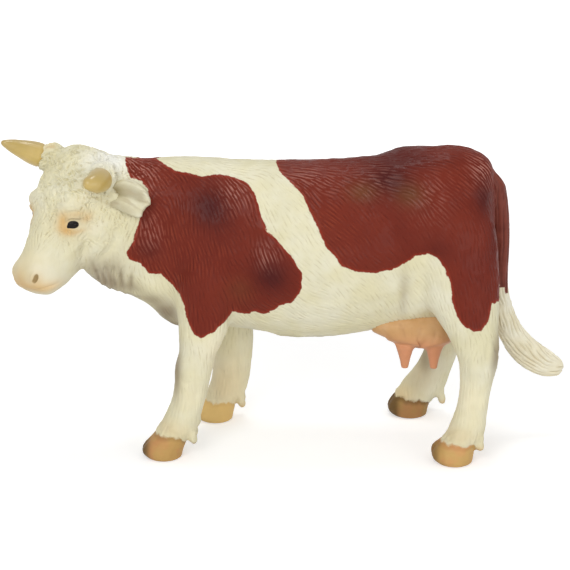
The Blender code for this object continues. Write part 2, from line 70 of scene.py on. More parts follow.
camera = added("camera", bpy.data.cameras.new("camera"))
scene.camera = camera
camera.location = EYE_PLACE
camera.rotation_euler = (math.pi / 2 - TILT, 0, 0)
camera.data.sensor_width = 36
camera.data.lens = camera.data.sensor_width * FOCAL_PIXELS / PICTURE_SIDE
camera.data.shift_x = (PICTURE_SIDE / 2 - AXIS_POINT[0]) / PICTURE_SIDE
camera.data.shift_y = (AXIS_POINT[1] - PICTURE_SIDE / 2) / PICTURE_SIDE
camera.data.clip_start = 0.01


def in_picture(points):
    """Where points of the figure fall in the picture."""
    offset = points - EYE_PLACE
    depth = -(offset @ VIEW_BACK)
    across = AXIS_POINT[0] + FOCAL_PIXELS * offset[:, 0] / depth
    down = AXIS_POINT[1] - FOCAL_PIXELS * (offset @ VIEW_UP) / depth
    return np.stack((across, down), axis=1)


def on_skin(tree, across, down):
    """The point of a skin that shows at a place of the picture."""
    ray = (Vector(VIEW_UP) * (AXIS_POINT[1] - down) / FOCAL_PIXELS - Vector(VIEW_BACK)
           + Vector(((across - AXIS_POINT[0]) / FOCAL_PIXELS, 0, 0)))
    hit = tree.ray_cast(Vector(EYE_PLACE), ray.normalized())
    if hit[0] is None:
        hit = tree.find_nearest(Vector(EYE_PLACE) + ray * EYE_DISTANCE)
    return np.array(hit[0])


# Moulded body
# Torso, head and legs are one run of solid cream vinyl, cast in a steel mould. One skin
# goes over their solids, and the seams that the parts are joined at show only as lines.
BODY_NODES = ("trunk", "head", "left_foreleg", "right_foreleg", "left_hind_leg",
              "right_hind_leg")
SEAM_CLOSING = 0.35 * MM
SKIN_VOXEL = 0.36 * MM
WELD = 0.002 * MM
FAIRING_STEPS = 22
HEAD_AND_LEG_FAIRING = 0.22


def read(items, key, width, kind=np.float32):
    """One property of all the items of a mesh, as rows of an array."""
    flat = np.empty(len(items) * width, dtype=kind)
    items.foreach_get(key, flat)
    return flat.reshape(-1, width)


def points_of(mesh):
    return read(mesh.vertices, "co", 3).astype(float)


def normals_of(mesh):
    return read(mesh.vertex_normals, "vector", 3).astype(float)


def pairs_of(mesh):
    return read(mesh.edges, "vertices", 2, np.int32)


def corners_of(mesh, key="vertex_index"):
    return read(mesh.loops, key, 1, np.int32).reshape(-1, 4)


def put_points(mesh, points):
    mesh.vertices.foreach_set("co", points.astype(np.float32).ravel())
    mesh.update()


def relaxed(values, pairs, steps, rate=1.0):
    """Values averaged with those of the neighbours on the mesh, so many times."""
    one, other = pairs[:, 0], pairs[:, 1]
    count = len(values)
    links = np.bincount(one, minlength=count) + np.bincount(other, minlength=count)
    links = np.maximum(links, 1)[:, None]
    rate = np.broadcast_to(np.asarray(rate, dtype=float), (count,))[:, None]
    result = values.copy()
    for step in range(steps):
        total = np.stack([np.bincount(one, column[other], count)
                          + np.bincount(other, column[one], count)
                          for column in result.T], axis=1)
        result += (total / links - result) * rate
    return result


def applied(obj):
    """The mesh of an object with its modifiers in it, and the object gone."""
    bpy.context.view_layer.update()
    shaped = obj.evaluated_get(bpy.context.evaluated_depsgraph_get())
    mesh = bpy.data.meshes.new_from_object(shaped)
    mesh.name = obj.name
    bpy.data.objects.remove(obj)
    return mesh


def largest_island(mesh):
    """Leaves only the largest connected run of a mesh."""
    pairs = pairs_of(mesh)
    label = np.arange(len(mesh.vertices))
    while True:
        low = np.minimum(label[pairs[:, 0]], label[pairs[:, 1]])
        lower = label.copy()
        for column in (0, 1):
            np.minimum.at(lower, label[pairs[:, column]], low)
            np.minimum.at(lower, pairs[:, column], low)
        lower = lower[lower]
        if np.array_equal(lower, label):
            break
        label = lower
    kept = np.argmax(np.bincount(label))
    shape = bmesh.new()
    shape.from_mesh(mesh)
    extra = [v for v, mark in zip(shape.verts, label) if mark != kept]
    bmesh.ops.delete(shape, geom=extra, context="VERTS")
    shape.to_mesh(mesh)
    shape.free()


def wrapped(name, mesh, voxel):
    """A mesh wrapped in one closed, even skin."""
    obj = added(name, mesh)
    wrap = obj.modifiers.new("wrap", "REMESH")
    wrap.mode = "VOXEL"
    wrap.voxel_size = voxel
    mesh = applied(obj)
    largest_island(mesh)
    return mesh


def skin_over(name, nodes, closing, voxel):
    """One closed skin over solids of the frame, with the gaps between them closed."""
    shape = bmesh.new()
    for node in nodes:
        shape.from_mesh(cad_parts[node].data)
    bmesh.ops.remove_doubles(shape, verts=shape.verts, dist=WELD)
    shape.normal_update()
    grown = [v.co + v.normal * closing for v in shape.verts]
    for vertex, place in zip(shape.verts, grown):
        vertex.co = place
    mesh = bpy.data.meshes.new(name)
    shape.to_mesh(mesh)
    shape.free()
    mesh = wrapped(name, mesh, voxel)
    put_points(mesh, points_of(mesh) - normals_of(mesh) * closing)
    return mesh


def faired(mesh, steps, rate=1.0):
    """A skin with its facets smoothed off and its girth kept."""
    pairs = pairs_of(mesh)
    before = points_of(mesh)
    soft = relaxed(before, pairs, steps, rate)
    lost = relaxed(before - soft, pairs, steps, rate)
    put_points(mesh, soft + lost)


def mesh_from(name, points, corners):
    """A mesh of four-sided faces, from arrays of its points and of its faces' corners."""
    mesh = bpy.data.meshes.new(name)
    mesh.vertices.add(len(points))
    mesh.loops.add(corners.size)
    mesh.polygons.add(len(corners))
    mesh.vertices.foreach_set("co", points.astype(np.float32).ravel())
    mesh.loops.foreach_set("vertex_index", corners.astype(np.int32).ravel())
    mesh.polygons.foreach_set("loop_start", np.arange(0, corners.size, 4, dtype=np.int32))
    mesh.update(calc_edges=True)
    return mesh


def finer(mesh, name):
    """A skin of four-sided faces with each face cut in four and rounded."""
    points, pairs = points_of(mesh), pairs_of(mesh)
    corners, sides = corners_of(mesh), corners_of(mesh, "edge_index")
    middles = points[pairs].mean(axis=1)
    centres = points[corners].mean(axis=1)
    first_middle, first_centre = len(points), len(points) + len(pairs)
    centre = first_centre + np.arange(len(corners))
    quarters = [np.stack((corners[:, k], first_middle + sides[:, k], centre,
                          first_middle + sides[:, k - 1]), axis=1) for k in range(4)]
    result = mesh_from(name, np.concatenate((points, middles, centres)),
                       np.concatenate(quarters))
    faired(result, 2, 0.7)
    return result


def tree_of(mesh):
    corners = [tuple(p) for p in points_of(mesh)]
    return BVHTree.FromPolygons(corners, [tuple(f.vertices) for f in mesh.polygons])


def eased(low, high, value):
    share = np.clip((value - low) / (high - low), 0, 1)
    return share * share * (3 - 2 * share)


body = skin_over("body", BODY_NODES, SEAM_CLOSING, SKIN_VOXEL)
body_points = points_of(body)
torso_share = eased(24 * MM, 34 * MM, body_points[:, 2])
torso_share *= eased(-46 * MM, -34 * MM, body_points[:, 0])
faired(body, FAIRING_STEPS,
       HEAD_AND_LEG_FAIRING + (1 - HEAD_AND_LEG_FAIRING) * torso_share)

# Body relief
# The sculptor's large forms: shoulder blade, brisket, barrel, hip and pin bones, thigh
# and the folds of skin between them. Each is raised on or sunk in the skin, on the side
# that shows and on the other side.
LINE_ENDS = 0.35
LINE_SPACING = 1.2
MIDDLE = (np.zeros(3), np.array((0.0, 1.0, 0.0)))
POLL = np.array((-52.6, -4.0, 75.0)) * MM
FACE_WAY = np.array((-0.4132, -0.4924, -0.7660))
LEFT_WAY = np.array((0.7660, -0.6428, 0.0))
BROW_WAY = np.array((-0.4924, -0.5868, 0.6428))
HEAD_MIDDLE = (POLL - LEFT_WAY * 0.8 * MM, LEFT_WAY)
LEG_MIDDLES = {"left_foreleg": -12.2, "right_foreleg": 12.2, "left_hind_leg": -15.0,
               "right_hind_leg": 15.0}


def mirrored(vectors, plane, places=True):
    """Points, or directions, as they are on the other side of a plane."""
    base, normal = plane
    offset = vectors - base if places else vectors
    return vectors - 2 * (offset @ normal)[..., None] * normal


def carried(tree, places, plane):
    """Places on the skin as they are on the other side of a plane, dropped on the skin."""
    across = np.atleast_2d(mirrored(places, plane))
    return np.array([tree.find_nearest(Vector(p))[0] for p in across])


def ovals(tree, across, down, long, wide, lean, plane):
    """Centre, axes and half sizes of an oval on the skin, and of its mirror image."""
    centre = on_skin(tree, across, down)
    turn = math.radians(lean)
    ways = np.array(((math.cos(turn), 0, math.sin(turn)),
                     (-math.sin(turn), 0, math.cos(turn)), (0, 1, 0)))
    sizes = np.array((long, wide, max(long, wide))) * MM
    found = [(centre, ways, sizes)]
    if plane is not None:
        found.append((carried(tree, centre, plane)[0], mirrored(ways, plane, places=False),
                      sizes))
    return found


def curved(knots, steps=None):
    """A smooth run through knots, with so many steps between two, or closely spaced."""
    knots = np.asarray(knots, dtype=float)
    knots = np.concatenate(([2 * knots[0] - knots[1]], knots, [2 * knots[-1] - knots[-2]]))
    run = []
    for a, b, c, d in zip(knots, knots[1:], knots[2:], knots[3:]):
        count = steps or max(2, int(np.linalg.norm(c - b) / LINE_SPACING))
        for t in np.arange(count) / count:
            run.append(0.5 * (2 * b + (c - a) * t + (2 * a - 5 * b + 4 * c - d) * t ** 2
                              + (3 * b - a - 3 * c + d) * t ** 3))
    run.append(knots[-2])
    return np.array(run)


class Relief:
    """Heights raised on and sunk in a skin, in metres along its normals."""

    def __init__(self, mesh, tree):
        self.mesh = mesh
        self.points = points_of(mesh)
        self.normals = normals_of(mesh)
        self.tree = tree
        self.height = np.zeros(len(self.points))

    def raised(self, height, place, ways, sizes):
        """Raises one oval, and with a negative height sinks it."""
        reach = (((self.points - place) @ ways.T / sizes) ** 2).sum(axis=1)
        self.height += height * MM * np.clip(1 - reach, 0, 1) ** 2

    def mounds(self, plane, *rows):
        """Raises ovals: place, half length and width in mm, lean in degrees, height."""
        for *oval, height in rows:
            for found in ovals(self.tree, *oval, plane):
                self.raised(height, *found)

    def lines(self, plane, *rows):
        """Sinks grooves, or with a negative depth raises folds: width, depth, places."""
        for width, depth, *places in rows:
            track = np.array([on_skin(self.tree, *place) for place in curved(places)])
            share = np.linspace(0, 1, len(track))
            strength = eased(0, LINE_ENDS, share) * eased(0, LINE_ENDS, 1 - share)
            runs = [track] if plane is None else [track, carried(self.tree, track, plane)]
            for run in runs:
                margin = 3 * width * MM
                index = np.flatnonzero(np.all((self.points > run.min(axis=0) - margin)
                                              & (self.points < run.max(axis=0) + margin),
                                              axis=1))
                apart = np.linalg.norm(self.points[index, None] - run[None], axis=2)
                closest = apart.argmin(axis=1)
                gap = apart[np.arange(len(index)), closest] / (width * MM)
                self.height[index] -= depth * MM * strength[closest] * np.exp(-gap ** 2)

    def draw_out(self, across, down, sizes, way):
        """Draws the skin round a place out along a way. Sizes and way are in mm."""
        centre = on_skin(self.tree, across, down)
        reach = (((self.points - centre) / (np.array(sizes) * MM)) ** 2).sum(axis=1)
        self.points += np.array(way) * MM * np.exp(-reach)[:, None]

    def settle(self):
        put_points(self.mesh, self.points + self.normals * self.height[:, None])


relief = Relief(body, tree_of(body))
# shoulder blade, upper arm, and the hollow behind them
relief.mounds(MIDDLE, (205, 215, 9, 15, 12, 0.75), (196, 290, 7, 9, -10, 0.60))
relief.lines(MIDDLE, (2.6, 0.55, (236, 190), (246, 230), (246, 275), (232, 315)),
             (2.2, 0.45, (168, 190), (163, 225), (170, 262), (186, 292)))
# brisket and the folds of the throat
relief.mounds(MIDDLE, (152, 290, 5, 4, 0, 0.70))
relief.lines(MIDDLE, (1.4, 0.40, (140, 215), (132, 240), (122, 262)),
             (1.2, 0.35, (96, 262), (118, 276), (140, 284)))
# barrel
relief.mounds(MIDDLE, (300, 270, 17, 10, 0, 0.70))
relief.lines(MIDDLE, (1.3, -0.40, (262, 330), (290, 335), (318, 335)))
relief.mounds(MIDDLE, (355, 215, 9, 6, 0, -0.55))
# hip, the far hip that shows over the back, pin bone, thigh and the fold of the stifle
relief.mounds(MIDDLE, (398, 172, 7, 4, -10, 0.65))
relief.raised(1.30, *ovals(relief.tree, 412, 164, 9, 4.5, -4, MIDDLE)[1])
relief.mounds(MIDDLE, (482, 190, 4, 5, 0, 0.55))
relief.mounds(None, (487, 163, 5.0, 3.0, -35, 0.35))
relief.mounds(MIDDLE, (440, 235, 10, 12, 0, 0.60), (395, 240, 4, 9, 8, -0.45))
relief.lines(MIDDLE, (1.5, 0.65, (400, 255), (404, 285), (412, 318)),
             (2.0, 0.35, (418, 178), (430, 190), (450, 196)))
relief.mounds(MIDDLE, (420, 305, 5, 6, 0, 0.55))
# crest behind the poll, and the web of skin from the jaw to the throat
relief.mounds(None, (118, 161, 7.0, 3.6, 0, 1.05))
relief.draw_out(79, 261, (3.2, 8.0, 3.2), (-0.45, 0.0, -1.60))
relief.draw_out(64, 275, (3.6, 8.0, 3.6), (0.60, 0.0, -1.45))
relief.draw_out(173, 316, (3.6, 8.0, 3.0), (0.40, 0.0, -1.30))
relief.settle()

body_tree = tree_of(body)
coarse_points = points_of(body)
coarse_normals = normals_of(body)
body = finer(body, "body")
relief = Relief(body, body_tree)

# Face
# The near half of the face shows, and the other half is its mirror image: eyes under
# heavy lids, a long dished nose, comma nostrils and a soft mouth.
EYE = (73.4, 224.8)
relief.mounds(HEAD_MIDDLE, (*EYE, 3.8, 3.0, -8, -0.60), (*EYE, 2.0, 1.5, -10, 0.85),
              (90, 208, 3.2, 1.8, -10, -0.35))
relief.lines(
    HEAD_MIDDLE,
    (0.40, -0.55, (62.5, 227), (67.5, 219.5), (75, 217.5), (84, 221.5)),
    (0.36, -0.36, (64, 229.5), (70, 232), (77, 231.5), (83, 226.5)),
    (0.42, 0.40, (58, 220), (64, 214), (77, 212.0), (92, 216)),
    (1.1, -0.48, (56, 212), (68, 206.5), (82, 206), (96, 211)),
    (0.60, 0.28, (62, 235), (73, 239), (86, 235)))
# nose, nostril and mouth
relief.mounds(HEAD_MIDDLE, (30, 271, 5.0, 3.8, 30, 0.40),
              (36.0, 277.6, 0.75, 1.2, -18, -0.62), (34.0, 281.4, 0.95, 0.60, 40, -0.42))
relief.lines(
    HEAD_MIDDLE,
    (0.40, -0.26, (30.5, 284), (31, 279), (34, 273.5), (39.5, 274)),
    (0.30, 0.22, (20, 287), (32, 290.0), (44, 288.5), (56, 284), (64, 277)),
    (1.1, 0.18, (46, 250), (40, 260), (42, 270)))
# cheek, jowl and the edge of the jaw
relief.mounds(HEAD_MIDDLE, (71, 262, 4.6, 3.2, 35, 0.40), (99, 238, 3.4, 5.2, -15, 0.60))
relief.lines(
    HEAD_MIDDLE,
    (1.1, -0.42, (84, 238), (72, 250), (60, 262)),
    (0.8, 0.25, (92, 232), (84, 250), (72, 262)),
    (0.9, 0.22, (57, 232), (49, 248), (44, 258)))
# fold behind the jaw, and the tufts of the throat
relief.lines(
    None,
    (1.0, 0.60, (120, 222), (116, 240), (104, 256), (88, 268)),
    (0.45, 0.60, (98, 268), (97, 274), (99, 282)),
    (0.45, 0.65, (106, 264), (104, 275), (106, 286)),
    (0.45, 0.65, (115, 262), (112, 276), (114, 290)),
    (0.45, 0.60, (125, 264), (121, 278), (123, 292)),
    (0.45, 0.45, (135, 270), (131, 282), (133, 294)))
for across, down, drop in ((96, 275, 0.6), (102, 281, 0.9), (109, 285, 1.0), (117, 288, 0.7),
                           (125, 291, 0.6), (134, 294, 0.4)):
    relief.draw_out(across, down, (0.75, 2.4, 1.0), (0.15, 0.0, -drop))
# hollow that runs from under the horn into the ear
relief.mounds(None, (114, 196, 2.4, 2.8, 0, 1.00))
relief.lines(None, (0.55, 0.45, (106, 201), (114, 204), (124, 209)),
             (0.70, 0.45, (112, 189), (118, 192), (126, 194)))


def head_places(points):
    """Points as their way down the face, to its left and out of the brow, in mm."""
    offset = points - POLL
    return np.stack((offset @ FACE_WAY, offset @ LEFT_WAY, offset @ BROW_WAY), axis=1) / MM


# Curls of the poll
# Short curled locks cover the crown between the horns and run down to the brow. The
# same locks, only lower, go on over the cheeks as fur.
FUR_SHARE = 0.42
LOCK_HEIGHT = 0.50
TUFT_HEIGHT = 0.30
near_eye = on_skin(body_tree, *EYE)
far_eye = carried(body_tree, near_eye, HEAD_MIDDLE)[0]


def curls(points):
    """Height of the curled locks at each point, in mm, and nought where there are none."""
    down_face, aside, above = head_places(points).T
    crown = eased(17, 6, down_face) * eased(-12, -5, down_face) * eased(-9, -3, above)
    fur = eased(25, 17, down_face) * eased(-12, -4, down_face) * eased(-17, -11, above)
    crown = np.maximum(crown, FUR_SHARE * fur)
    for eye in (near_eye, far_eye):
        crown *= eased(1.8 * MM, 3.6 * MM, np.linalg.norm(points - eye, axis=1))
    height = np.zeros(len(points))
    for index in np.flatnonzero(crown > 0.02):
        spot = Vector(points[index] / MM)
        bend = noise.noise_vector(spot / 2.6) * 1.5
        lock = 1 - 2.4 * abs(noise.noise(spot / 1.15 + bend))
        tuft = noise.noise(spot / 3.0)
        height[index] = crown[index] * (LOCK_HEIGHT * lock + TUFT_HEIGHT * tuft)
    return height


def uneven(points, size):
    """Chance values from -1 to 1 that change over so many mm."""
    return np.array([noise.noise(Vector(p / (size * MM))) for p in points])


relief.height += curls(relief.points) * MM
# soft unevenness left by the hand, everywhere but on the hooves and the eyes
lumps = uneven(relief.points, 3.6) + 0.5 * uneven(relief.points, 1.5)
relief.height += 0.13 * MM * lumps * eased(6 * MM, 9 * MM, relief.points[:, 2])

# Legs
# Bony and upright, with the knees and hocks set off by hollows beside the tendons. Each
# ends in a cloven hoof with a rim of skin above it.
NEAR_FORE, FAR_FORE, NEAR_HIND, FAR_HIND = ((np.array((0.0, y * MM, 0.0)), MIDDLE[1])
                                           for y in LEG_MIDDLES.values())
# knees, with the hollow behind them and the tendon that runs to the fetlock
for across, down, plane in ((188, 368, NEAR_FORE), (228, 362, FAR_FORE)):
    relief.mounds(plane, (across - 4, down, 2.4, 3.6, 0, 0.42),
                  (across - 14, down + 62, 2.6, 1.8, 30, 0.35))
    relief.lines(
        plane,
        (0.75, 0.34, (across + 10, down - 20), (across + 8, down), (across + 9, down + 24),
         (across + 4, down + 50)),
        (0.60, 0.20, (across - 8, down + 12), (across - 2, down + 16),
         (across + 6, down + 15)))
# hocks, with the hollow ahead of the heel tendon
for across, down, plane in ((480, 366, NEAR_HIND), (424, 352, FAR_HIND)):
    relief.mounds(plane, (across - 6, down + 6, 2.8, 3.4, 0, 0.36),
                  (across - 24, down + 70, 2.4, 1.8, 30, 0.35))
    relief.lines(
        plane,
        (0.75, 0.50, (across + 9, down - 28), (across + 7, down - 10), (across + 7, down + 8)),
        (0.70, 0.26, (across + 2, down + 16), (across, down + 34), (across - 6, down + 54)))
# the two small claws behind each hoof
for across, down, plane in ((193, 439, NEAR_FORE), (241, 403, FAR_FORE),
                            (479, 447, NEAR_HIND), (442, 399, FAR_HIND)):
    relief.mounds(plane, (across, down, 1.7, 1.9, 0, 0.55))
TOES = {
    "left_foreleg": (-37.0, -12.7),
    "right_foreleg": (-25.0, 12.7),
    "left_hind_leg": (35.3, -16.2),
    "right_hind_leg": (26.0, 16.2),
}
CORONETS = {
    "left_foreleg": (-33.0, 6.5, -0.07),
    "right_foreleg": (-22.2, 5.6, -0.02),
    "left_hind_leg": (37.4, 5.7, -0.03),
    "right_hind_leg": (27.3, 5.5, -0.10),
}
HEEL_DROP = 1.6


def own_leg(points, leg):
    """Which points are on the side and at the end of the body that a leg is."""
    fore = (points[:, 0] < 6 * MM) == leg.endswith("foreleg")
    return fore & ((points[:, 1] < 0) == leg.startswith("left"))


def above_coronet(points):
    """Height of points over the rim of the hoof of their own leg, in mm."""
    result = np.full(len(points), 99.0)
    for leg, (front, level, slope) in CORONETS.items():
        mine = own_leg(points, leg)
        rim = level + slope * (points[:, 0] / MM - front)
        rim = rim - HEEL_DROP * eased(10.2, 11.4, points[:, 0] / MM - TOES[leg][0])
        round_leg = np.arctan2(points[:, 1] / MM - LEG_MIDDLES[leg],
                               points[:, 0] / MM - front - 6)
        rim = rim + (0.16 * np.sin(5 * round_leg + front) + 0.10 * np.sin(9 * round_leg)
                     + 0.06 * np.sin(17 * round_leg + 2 * front))
        result[mine] = (points[:, 2] / MM - rim)[mine]
    return result


rise = above_coronet(relief.points)
for index in np.flatnonzero((rise > -0.6) & (rise < 3.2)):
    spot = Vector(relief.points[index] / MM)
    fringe = noise.noise(Vector((spot.x * 1.3, spot.y * 1.3, spot.z * 0.45)))
    relief.height[index] += 0.27 * MM * fringe * math.exp(-((rise[index] - 1.0) / 1.1) ** 2)
relief.height += 0.05 * MM * np.exp(-((rise - 0.8) / 0.70) ** 2)
relief.height -= 0.11 * MM * np.exp(-((rise + 0.25) / 0.35) ** 2)
relief.height += 0.016 * MM * np.sin(rise * 6.5) * (rise < -0.8) * (rise > -6)
# clefts between the toes
for toe_along, toe_across in TOES.values():
    offset = relief.points - np.array((toe_along, toe_across, 0.0)) * MM
    upward = relief.points[:, 2]
    reach = np.clip(1 - offset[:, 0] / (5.6 * MM), 0, 1) * (offset[:, 0] > -3 * MM)
    reach *= eased(6.2 * MM, 4.6 * MM, upward)
    relief.height -= 1.15 * MM * reach * np.exp(-(offset[:, 1] / (0.32 * MM)) ** 2)
relief.settle()

# Coat hair
# The steel of the mould was engraved by hand with short strokes, which stand for the
# hair. They run back along the spine, down the flanks and legs and down the face.
HAIR_GUIDES = (
    (130, 165, 50), (112, 200, 60), (150, 232, 70), (95, 265, 66), (120, 282, 50),
    (160, 175, 56), (190, 220, 78), (200, 282, 82), (205, 176, 62), (242, 200, 72),
    (250, 260, 66), (228, 300, 66), (200, 156, 20), (250, 163, 26), (300, 162, 14),
    (275, 185, 60), (300, 192, 52), (300, 240, 54), (300, 300, 40), (350, 161, 8),
    (345, 185, 34), (360, 215, 48), (380, 240, 52), (400, 158, 8), (450, 158, 22),
    (482, 172, 62), (440, 200, 52), (420, 258, 60), (442, 300, 74), (470, 330, 84),
    (492, 250, 88), (392, 290, 56), (330, 326, 24), (280, 326, 26), (160, 300, 62),
    (200, 332, 88), (195, 380, 93), (190, 420, 94), (235, 350, 90), (235, 390, 90),
    (480, 370, 96), (470, 412, 94), (410, 370, 90), (360, 300, 46),
)
STROKE_PITCH = 0.72 * MM
STROKE_DEPTH = 0.17 * MM
SEAM_PLACE = np.array((-36.6, -3.2, 57.3)) * MM
SEAM_WAY = np.array((-0.9417, -0.3005, -0.1503))
CALM_PLACE = (408, 236)
CALM_SIZE = (80, 52)
STROKE_STEP = 0.42 * MM
STROKE_WIDTH = 0.19 * MM
LIP = 0.45


def near_side(points):
    """Points, with those of the far half of the figure carried over to the near half."""
    return points * np.where(points[:, 1:2] > 0, (1.0, -1.0, 1.0), (1.0, 1.0, 1.0))


def combed(places, guides, softness):
    """The way that hair lies at places of the picture, from guides with their angles."""
    total = np.zeros((len(places), 2))
    for across, down, angle in guides:
        weight = 1 / (((places - (across, down)) ** 2).sum(axis=1) + softness) ** 2
        total[:, 0] += weight * math.cos(math.radians(angle))
        total[:, 1] -= weight * math.sin(math.radians(angle))
    return np.stack((total[:, 0], np.zeros(len(places)), total[:, 1]), axis=1)


def laid(ways, normals):
    """Ways laid flat on the skin, each of length one."""
    ways = ways - (ways * normals).sum(axis=1)[:, None] * normals
    return ways / np.maximum(np.linalg.norm(ways, axis=1), 1e-9)[:, None]


def turned(ways, normals, angles):
    """Ways turned on the skin by angles."""
    return ways * np.cos(angles)[:, None] + np.cross(normals, ways) * np.sin(angles)[:, None]


def on_head(points, start=0.0):
    """How far each point has the hair of the head, as a share."""
    share = eased(start, 5 * MM, (points - SEAM_PLACE) @ SEAM_WAY)
    return share * eased(34 * MM, 40 * MM, points[:, 2])


def hair_ways(points, normals):
    """The way that the hair lies at each point of the skin."""
    ways = combed(in_picture(near_side(points)), HAIR_GUIDES, 60)
    ways /= np.linalg.norm(ways, axis=1)[:, None]
    spread = np.clip(head_places(points)[:, 1] / 9, -1, 1)[:, None]
    face = FACE_WAY + LEFT_WAY * 0.30 * spread - BROW_WAY * 0.35 * np.abs(spread)
    headward = on_head(points, -1 * MM)[:, None]
    return laid(ways * (1 - headward) + face * headward, normals)


def hair_strength(points):
    """How deep the strokes are cut at each point, as a share."""
    along = head_places(points)[:, 0]
    headward = on_head(points)
    strength = (1 + 0.5 * headward) * (1 - 0.30 * headward * eased(8, 16, along))
    strength *= 1 - headward * eased(23, 27, along)
    strength *= 1 - 0.50 * eased(27 * MM, 20 * MM, points[:, 2])
    calm = (in_picture(near_side(points)) - CALM_PLACE) / CALM_SIZE
    strength *= 1 - 0.38 * np.exp(-np.linalg.norm(calm, axis=1) ** 2)
    return strength * eased(0.6, 1.8, above_coronet(points))


def point_tree(points):
    """Finds the nearest of some points."""
    tree = KDTree(len(points))
    for index, place in enumerate(points):
        tree.insert(place, index)
    tree.balance()
    return tree


class Strokes:
    """Short strokes cut along a skin, evenly spread, of chance length and depth."""

    def __init__(self, points, normals, ways, strength, pitch, lengths, reach, seed):
        chance = random.Random(seed)
        nearest = point_tree(points)
        taken = np.zeros(len(points), dtype=bool)
        order = list(range(len(points)))
        chance.shuffle(order)
        rows = []
        count = 0
        for start in order:
            if taken[start] or strength[start] < 0.08:
                continue
            runs = []
            for heading in (1, -1):
                place, index, run = points[start], start, []
                for _ in range(max(2, round(chance.randint(*lengths) * reach[start]))):
                    run.append((place, index))
                    place = place + ways[index] * heading * STROKE_STEP
                    index = nearest.find(place)[1]
                    above = (place - points[index]) @ normals[index]
                    place = place - normals[index] * above
                    if taken[index] or strength[index] < 0.05:
                        break
                runs.append(run)
            track = runs[1][:0:-1] + runs[0]
            if len(track) < 3:
                taken[start] = True
                continue
            force = chance.uniform(0.55, 1.0)
            spread = pitch * chance.uniform(0.78, 1.28)
            for number, (place, index) in enumerate(track):
                taper = math.sin(math.pi * (number + 0.5) / len(track)) ** 0.6
                rows.append((*place, *ways[index], force * taper * strength[index], count))
                for found in nearest.find_range(place, spread):
                    taken[found[1]] = True
            count += 1
        rows = np.array(rows)
        self.places, self.ways = rows[:, :3], rows[:, 3:6]
        self.depths, self.marks = rows[:, 6], rows[:, 7].astype(int)
        self.count = count
        self.nearest = point_tree(self.places)

    def at(self, points, width):
        """Depth of cut and height of lip, 0 to 1, and each point's nearest stroke."""
        find = self.nearest.find
        nearest = np.array([find(p)[1] for p in points])
        offset = points - self.places[nearest]
        along = (offset * self.ways[nearest]).sum(axis=1)
        apart = np.sqrt(np.maximum((offset ** 2).sum(axis=1) - along ** 2, 0)) / width
        beyond = np.maximum(np.abs(along) / MM - 0.3, 0)
        depth = self.depths[nearest] * np.exp(-(beyond / 0.35) ** 2)
        cut = depth * np.exp(-apart ** 2)
        lip = depth * np.exp(-((apart - 2.0) / 0.95) ** 2)
        return cut, lip, self.marks[nearest]


coarse_ways = hair_ways(coarse_points, coarse_normals)
along, aside, above = head_places(coarse_points).T
curly = eased(14, 6, along) * eased(-10, -2, along) * eased(-8, -2, above)
swirl = uneven(coarse_points, 2.6) * (curly > 0.01)
headward = on_head(coarse_points)
turn = swirl * curly * 4.6 + uneven(coarse_points, 5.0) * (0.42 + 0.60 * headward)
hair = Strokes(coarse_points, coarse_normals, turned(coarse_ways, coarse_normals, turn),
               hair_strength(coarse_points) * (1 - 0.3 * curly), STROKE_PITCH, (2, 8),
               1 - 0.45 * headward, 7)
hair_chance = np.random.default_rng(3).uniform(-1, 1, hair.count + 1)
skin_points = points_of(body)
cut, lip, marks = hair.at(skin_points, STROKE_WIDTH)
put_points(body, skin_points
           - normals_of(body) * ((cut - LIP * lip) * STROKE_DEPTH)[:, None])

# Coat paint
# The vinyl is sprayed cream. Two red-brown patches a side are laid on with a brush up to
# hairy edges, and olive and purple smudges are dusted over the brown. Umber lid lines go
# round the eyes, and umber painted shade goes into the folds, under the throat and horn
# and along the shaded edges of the legs. Light red painted highlights go on the crest,
# shoulder and rump, brighter cream painted light on the legs that stand in shade, and
# painted shade and light on the hooves. The whole is lightly varnished. The colours lie
# in the material, and the places where they go on the skin.
FRONT_PATCH = (
    (125, 157), (156, 158), (175, 170), (201, 176), (220, 174), (236, 178), (247, 183),
    (254, 193), (258, 203), (261, 216), (267, 231), (278, 241), (294, 259), (302, 274),
    (302, 288), (297, 297), (291, 303), (280, 305), (275, 310), (264, 314), (255, 311),
    (247, 314), (232, 312), (225, 322), (213, 333), (201, 338), (194, 335), (189, 324),
    (184, 306), (178, 292), (169, 282), (160, 274), (148, 273), (141, 264), (129, 259),
    (126, 253), (133, 242), (134, 236), (139, 220), (139, 211), (150, 200), (148, 189),
    (141, 181), (131, 178), (128, 172), (125, 161),
)
REAR_PATCH = (
    (275, 130), (275, 159), (279, 171), (290, 183), (302, 195), (311, 214), (320, 232),
    (325, 247), (335, 257), (341, 266), (355, 272), (376, 273), (392, 270), (406, 263),
    (416, 256), (427, 254), (437, 258), (445, 270), (450, 283), (452, 300), (456, 314),
    (463, 326), (474, 332), (482, 331), (489, 320), (492, 304), (530, 290), (530, 130),
)
FAR_FRONT_PATCH = (
    (125, 150), (156, 150), (172, 172), (182, 196), (196, 214), (214, 226), (222, 246),
    (214, 268), (196, 284), (178, 290), (160, 280), (146, 262), (136, 236), (128, 200),
)
FAR_REAR_PATCH = (
    (275, 130), (275, 159), (284, 176), (290, 200), (304, 226), (326, 240), (350, 238),
    (372, 226), (396, 224), (414, 236), (424, 258), (440, 282), (462, 296), (486, 300),
    (530, 290), (530, 130),
)
